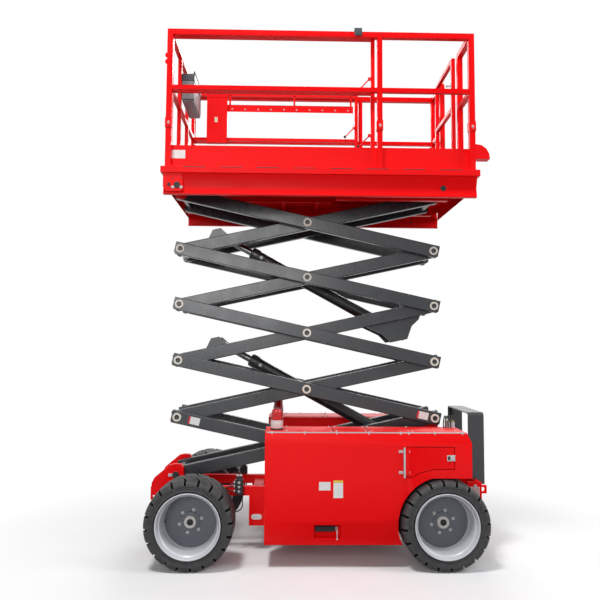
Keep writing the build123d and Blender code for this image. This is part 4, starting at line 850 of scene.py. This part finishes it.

# -------- lift cylinders
# Two long cylinders between the arms: black barrels with a spanner-slotted gland, port blocks
# and a hard pipe clipped along each side, and hard-chromed rods darkened as a painted dark reflection.
# The chrome's base colour is kept very dark: a painted dark reflection on the rods.
chrome_painted_dark = mottled("chrome_painted_reflection", {"Scale": 30.0, "Detail": 5.0}, (0.20, 0.20, 0.21), (0.10, 0.098, 0.095),
                 Metallic=1.0, Roughness=0.2)
for which in ("lower", "upper"):
    eased(which + "_cylinder_barrel", black, 0.002)
    eased(which + "_cylinder_rod", chrome_painted_dark, 0.002)
    foot = Vector(JOINT[which + "_cylinder_foot"]["pos_m"])
    aim = Vector(JOINT[which + "_cylinder_stroke"]["axis"])
    up = aim.cross(Vector((0, 1, 0))) * -1
    stand = Matrix((aim, (0, 1, 0), up)).transposed().to_4x4()
    stand = Matrix.Translation(foot) @ stand
    mouth = max((v.co - foot).dot(aim) for v in frame["nodes"][which + "_cylinder_barrel"].data.vertices)
    nuts, ports, fittings, pipe = [], [], [], []
    for side in (-1, 1):
        for along in (0.115, mouth - 0.105):
            ports.append(beside(side, along - 0.022, along + 0.022, 0.050, 0.073, -0.018, 0.018))
            fittings += hex_bolt((along, side * 0.073, 0), "Y", side, 0.018)
        start = mouth - 0.125
        pipe.append(swept([(start, side * 0.066, 0.0), (start - 0.04, side * 0.066, -0.012),
                           (0.175, side * 0.066, -0.012), (0.137, side * 0.066, 0.0)], 0.0052, 0.03, 8))
        for k in range(3):
            along = 0.30 + (mouth - 0.60) * k / 2
            ports.append(beside(side, along - 0.010, along + 0.010, 0.048, 0.074, -0.022, -0.002))
    nuts.append(turned([(mouth, 0.0335), (mouth, 0.054), (mouth + 0.006, 0.052), (mouth + 0.010, 0.046),
                        (mouth + 0.010, 0.0335)], (0, 0, 0), "X", 1, 32))
    for k in range(8):
        a = 2 * math.pi * k / 8
        x = mouth - 0.035
        slot = block(x - 0.014, x + 0.014, -0.005, 0.005, 0.0585, 0.0622)
        nuts += placed([slot], Matrix.Rotation(a, 4, "X"))
    shown(which + "_cylinder_ports", placed(ports, stand), black, which + "_barrel", 0.002)
    shown(which + "_cylinder_unions", placed(fittings, stand), zinc, which + "_barrel")
    shown(which + "_cylinder_pipes", placed(pipe, stand), rubber_black, which + "_barrel")
    shown(which + "_cylinder_gland", placed(nuts, stand), charcoal, which + "_barrel")

# -------- main deck
# A flat floor in a tray of folded edges, welded up and sprayed red all over. The channels under it
# carry the top rollers, black plugs close its spare holes, and black strips along its rim are painted shade for
# drain slots.
for node, ease in (("deck_plate", 0.001), ("deck_skirts", 0.003), ("deck_ends", 0.002),
                   ("deck_channels", 0.002)):
    eased(node, red, ease)
deck_low, deck_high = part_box("deck_skirts")
rim_face = deck_high.y
web_face = rim_face - 0.020
CHEEK_T = 0.006             # stands out from the web
PLUG = [(-0.010, 0), (-0.010, 1.0), (0.0025, 1.0), (0.0045, 0.85), (0.0045, 0.5), (0.0015, 0.42), (0.0015, 0)]
BUTTON = [(0, 0), (0, 0.006), (0.002, 0.006), (0.004, 0.003), (0.004, 0)]
plugs, cheeks, bright = [], [], []
x0, x1 = deck_low.x + 0.022, deck_low.x + 0.190
CHEEK_OUTLINE = [(x0, 3.3075), (x0, 3.185), (x0 + 0.030, 3.146), (x1 - 0.012, 3.146), (x1, 3.158),
                 (x1, 3.3075)]
for side in (-1, 1):
    face = side * (web_face + CHEEK_T)
    cheeks.append(plate(CHEEK_OUTLINE, side * (web_face - 0.036), face))
    for x, z, radius, y in ((-1.217, 3.201, 0.0275, face), (-1.287, 3.205, 0.014, face),
                            (1.084, 3.207, 0.0245, side * (web_face - 0.030))):
        plugs.append(turned([(d, radius * r) for d, r in PLUG], (x, y, z), "Y", side, 28))
    for x in (-1.252, -1.181):
        bright += hex_bolt((x, face, 3.181), "Y", side, 0.016)
        plugs.append(turned(BUTTON, (x, face, 3.262), "Y", side, 12))
    # Thin black strips on the rim face: painted shade standing for drain slots.
    for x in (-1.166 + 0.316 * k for k in range(8)):
        plugs.append(beside(side, x, x + 0.19, rim_face - 0.002, rim_face + 0.0006,
                            deck_high.z - 0.0085, deck_high.z - 0.0025))
shown("deck_end_cheeks", cheeks, red, "platform", 0.0015)
shown("deck_plugs", plugs, rubber_black, "platform")
shown("deck_cheek_bolts", bright, zinc, "platform")

# -------- tread sheets
# Bare steel sheets on both decks, rolled with short raised bars that lie crosswise to their
# neighbours, worn bright where people stand.
def worn_steel():
    """Rolled steel, dull in its hollows and rubbed bright where people stand."""
    material = bpy.data.materials.new("tread_steel")
    net = graph(material)
    wear = net.noise(Scale=6.0, Detail=8.0, Roughness=0.65)
    shader = net.add("BsdfPrincipled", Metallic=0.7)
    net.link(net.blend(wear, (0.26, 0.26, 0.265), (0.42, 0.42, 0.43)), shader.inputs["Base Color"])
    net.link(net.scaled(wear, 0.3, 0.7, 0.55, 0.35), shader.inputs["Roughness"])
    net.show(shader.outputs[0])
    return material


BAR_PITCH = 0.040
tread_steel = worn_steel()
eased("roll_out_deck", tread_steel, 0.002)
for node in ("deck_mat", "roll_out_mat"):
    eased(node, tread_steel, 0.0006)
    low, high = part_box(node)
    across, up = (int((size - 0.02) / BAR_PITCH) for size in (high.x - low.x, high.y - low.y))
    bars = []
    for i in range(across):
        for j in range(up):
            x, y = low.x + 0.03 + BAR_PITCH * i, low.y + 0.03 + BAR_PITCH * j
            u, v = (Vector((1, 0, 0)), Vector((0, 1, 0)))
            if (i + j) % 2 == 0:
                u, v = v, -u
            foot, ridge = Vector((x, y, high.z - 0.0002)), Vector((x, y, high.z + 0.0014))
            verts = [foot - u * 0.014, foot - v * 0.003, foot + u * 0.014, foot + v * 0.003,
                     ridge - u * 0.0056, ridge + u * 0.0056]
            bars.append(([tuple(p) for p in verts], [(0, 1, 4), (1, 5, 4), (1, 2, 5), (2, 3, 5), (3, 4, 5),
                                                     (3, 0, 4), (0, 3, 2, 1)]))
    shown(node + "_bars", bars, tread_steel, BODY_OF[node])

# -------- toe boards and guard rails
# Red sheet boards stand inside square-tube rails, whose posts plug into welded sockets. A ring-pull
# pin locks each socket, and a moulded clip sits on the left top rail.
eased("toe_boards", red, 0.0012)
eased("guard_rails", red, 0.004)
rail_low, rail_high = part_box("guard_rails")
# Thin near-black strips at the top and foot of each socket, and one upright on each top rail, are painted shadow
# lines.
dark = enamel("shadow_seam", (0.06, 0.002, 0.003), (0.04, 0.001, 0.002))
SOCKET_TOP, SOCKET_FOOT = 0.4335, 0.3420        # above the deck
PIN_UP = 0.389
RING_PULL = (0.8, 2.4, 3.9, 5.5, 6.7)
posts = ((rail_low.x + 0.030, 0.0256), (rail_low.x + 1.862, 0.0226), (rail_high.x - 0.030, 0.0256))
shadow_lines, pins = [], []
deck_z, face = deck_high.z, rail_high.y
for side in (-1, 1):
    for x, half in posts:
        pins += hex_bolt((x, side * face, deck_z + PIN_UP), "Y", side, 0.012)
        y, z = side * (face + 0.010), deck_z + PIN_UP - 0.014
        loop = [(x + 0.010 * math.cos(t), y, z + 0.012 * math.sin(t)) for t in RING_PULL]
        pins.append(swept(loop, 0.0016, 0.008, 6))
        for z in (deck_z + SOCKET_TOP, deck_z + SOCKET_FOOT):
            shadow_lines.append(beside(side, x - half, x + half, face - 0.0555, face - 0.0045, z, z + 0.003))
    shadow_lines.append(beside(side, 0.544, 0.5462, face - 0.0557, face - 0.0043, rail_high.z - 0.0507,
                        rail_high.z + 0.0004))
shown("socket_shadow_lines", shadow_lines, dark, "platform")
shown("socket_pins", pins, zinc, "platform")
moulded = vinyl("moulded_grey", (0.070, 0.082, 0.095))
clip = [block(0.306, 0.373, -0.764, -0.698, 4.585, 4.620), block(0.306, 0.373, -0.768, -0.755, 4.550, 4.612),
        block(0.318, 0.361, -0.772, -0.766, 4.562, 4.604)]
shown("rail_clip", clip, moulded, "platform", 0.005)
tabs = []
for side in (-1, 1):
    for x, z in ((rail_high.x - 0.075, 4.030), (rail_high.x - 0.080, 3.55)):
        leg = [(x + 0.045, z), (x + 0.045, z - 0.055), (x, z)]
        tabs.append(plate(leg, side * (face - 0.034), side * (face - 0.028)))
shown("rail_gussets", tabs, red, "platform", 0.001)
shown("toe_board_label", [block(-1.281, -1.160, -0.7056, -0.7048, 3.449, 3.523)], label_white, "platform")

# -------- entry gate
# A framed gate at the rear with a low sheet panel, hung on three pin hinges. It closes on a zinc
# slide bolt with a turned knob.
eased("entry_gate", red, 0.003)
gate_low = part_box("entry_gate")[0]
gate_x = gate_low.x
gate_y = gate_low.y
LATCH_KNOB = [(0, 0), (0, 0.006), (0.022, 0.006), (0.024, 0.011), (0.036, 0.011), (0.040, 0.007), (0.040, 0)]
latch = [block(gate_x - 0.010, gate_x, gate_y + 0.004, gate_y + 0.034, 4.235, 4.305),
         turned(LATCH_KNOB, (gate_x - 0.010, gate_y + 0.019, 4.282), "X", -1, 16),
         swept([(gate_x - 0.006, gate_y + d, 4.255) for d in (0.010, 0.055)], 0.005, 0.01, 10)]
for z in (4.245, 4.295):
    latch += hex_bolt((gate_x - 0.010, gate_y + 0.028, z), "X", -1, 0.008)
shown("gate_latch", latch, zinc, "gate", 0.0006)

# -------- roll-out deck's rails
# Lighter square-tube rails on the roll-out deck, with a bolted strip under the right top rail,
# diagonal lock levers at their rear posts and two pairs of cable hooks at the front.
eased("extension_rails", red, 0.003)
ext_low, ext_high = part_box("extension_rails")
STRIP_X0, STRIP_X1 = -0.933, 0.442
strip_y = ext_high.y - 0.0445
strip = [block(STRIP_X0, STRIP_X1, strip_y, strip_y + 0.005, 4.375, 4.452),
         block(STRIP_X0, STRIP_X1, strip_y, strip_y + 0.0145, 4.447, 4.452)]
for x in (-0.900, -0.20, 0.416):
    strip.append(block(x - 0.010, x + 0.010, strip_y + 0.0045, strip_y + 0.0105, 4.448, ext_high.z - 0.030))
strip_bolts = []
for x in (-0.875 + 0.140 * k for k in range(10)):
    strip_bolts += hex_bolt((x, strip_y, 4.402), "Y", -1, 0.010)
shown("rail_strip", strip, red, "roll_out", 0.001)
shown("rail_strip_bolts", strip_bolts, zinc, "roll_out")
LEVER_KNOB = [(0, 0), (0, 0.010), (0.005, 0.013), (0.020, 0.013), (0.026, 0.008), (0.026, 0)]
levers, knobs = [], []
x = ext_high.x - 0.055
for side in (-1, 1):
    y = side * (ext_high.y - 0.052)
    for z in (4.105, 3.590):
        levers.append(swept([(x + 0.012, y, z + 0.105), (x - 0.012, y, z + 0.085), (x - 0.085, y, z + 0.004)],
                            0.006, 0.015, 10))
        levers.append(block(x - 0.004, x + 0.036, y, side * (ext_high.y - 0.030), z + 0.092, z + 0.116))
        knobs.append(turned(LEVER_KNOB, (x - 0.090, y, z - 0.010), "Z", 1, 14))
shown("lock_levers", levers, red, "roll_out", 0.001)
shown("lock_knobs", knobs, rubber_black, "roll_out")
HOOK = [(0.004, 0.028), (-0.030, 0.030), (-0.052, 0.018), (-0.058, 0), (-0.050, -0.016), (-0.030, -0.020),
        (0.004, 0.004)]
hooks = []
for y in (-0.585, -0.45):
    hooks.append(block(ext_low.x - 0.002, ext_low.x + 0.004, y - 0.018, y + 0.018, 4.330, 4.515))
    for z in (4.425, 4.365):
        hooks.append(plate([(ext_low.x + dx, z + dz) for dx, dz in HOOK], y - 0.006, y + 0.006))
shown("cable_hooks", hooks, red, "roll_out", 0.0015)

# -------- control box
# The operator's box: a grey pressed case with a black moulded top, a joystick in a rubber boot,
# plain push buttons, a red mushroom stop and a tube guard round them.
case_grey = enamel("case_grey", (0.20, 0.21, 0.22), (0.16, 0.17, 0.18), rough=0.42, gloss=0.4)
low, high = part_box("control_box")
case = [block(low.x, high.x, low.y, high.y, low.z + 0.02, high.z - 0.075),
        block(low.x + 0.004, high.x - 0.004, low.y + 0.01, high.y - 0.01, low.z, low.z + 0.022)]
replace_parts(shown("control_case", case, case_grey, "roll_out", 0.010), "control_box")
top = high.z - 0.006
lid = [block(low.x, high.x + 0.004, low.y - 0.004, high.y + 0.004, high.z - 0.078, high.z - 0.012),
       block(low.x + 0.008, high.x - 0.008, low.y + 0.008, high.y - 0.008, high.z - 0.014, top)]
shown("control_top", lid, moulded, "roll_out", 0.006)
middle_x = (low.x + high.x) / 2
BOOT = [(0, 0), (0, 0.030), (0.005, 0.030), (0.008, 0.024), (0.012, 0.026), (0.016, 0.019), (0.020, 0.021),
        (0.026, 0.013), (0.032, 0.011), (0.046, 0.0145), (0.054, 0.0125), (0.058, 0.006), (0.058, 0)]
PUSH = [(0, 0), (0, 0.013), (0.006, 0.013), (0.008, 0.0105), (0.012, 0.0105), (0.013, 0.009), (0.013, 0)]
MUSHROOM = [(0, 0), (0, 0.014), (0.014, 0.014), (0.016, 0.022), (0.022, 0.0235), (0.028, 0.019), (0.030, 0)]
boot = [turned(BOOT, (middle_x, 0.06, top), "Z", 1, 24)]
boot += [turned(PUSH, (middle_x, y, top), "Z", 1, 20) for y in (-0.13, -0.09, -0.05)]
shown("control_knobs", boot, rubber_black, "roll_out", corner=30)
stop = turned(MUSHROOM, (middle_x, 0.13, top), "Z", 1, 28)
shown("stop_button", [stop], red, "roll_out", corner=30)
GUARD = ((-0.215, -0.02), (-0.215, 0.030), (0.215, 0.030), (0.215, -0.02))
guard = [(high.x - 0.004, y, top + up) for y, up in GUARD]
shown("control_guard", [swept(guard, 0.007, 0.03, 12)], black, "roll_out")

# -------- document box and corner hood
# A flat sheet box for papers with an overhanging lid and a small blank label, and the quarter-round
# hood welded outside the rear corner.
eased("document_box", red, 0.004)
low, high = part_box("document_box")
lid = block(low.x - 0.003, high.x + 0.003, low.y - 0.003, high.y - 0.001, high.z - 0.055, high.z + 0.002)
shown("document_lid", [lid], red, "roll_out", 0.003)
label = block(low.x + 0.084, low.x + 0.118, low.y - 0.0006, low.y + 0.001, 4.235, 4.292)
label_cream = vinyl("label_cream", (0.70, 0.66, 0.42))
shown("document_label", [label], label_cream, "roll_out")
eased("corner_hood", red, 0.002)
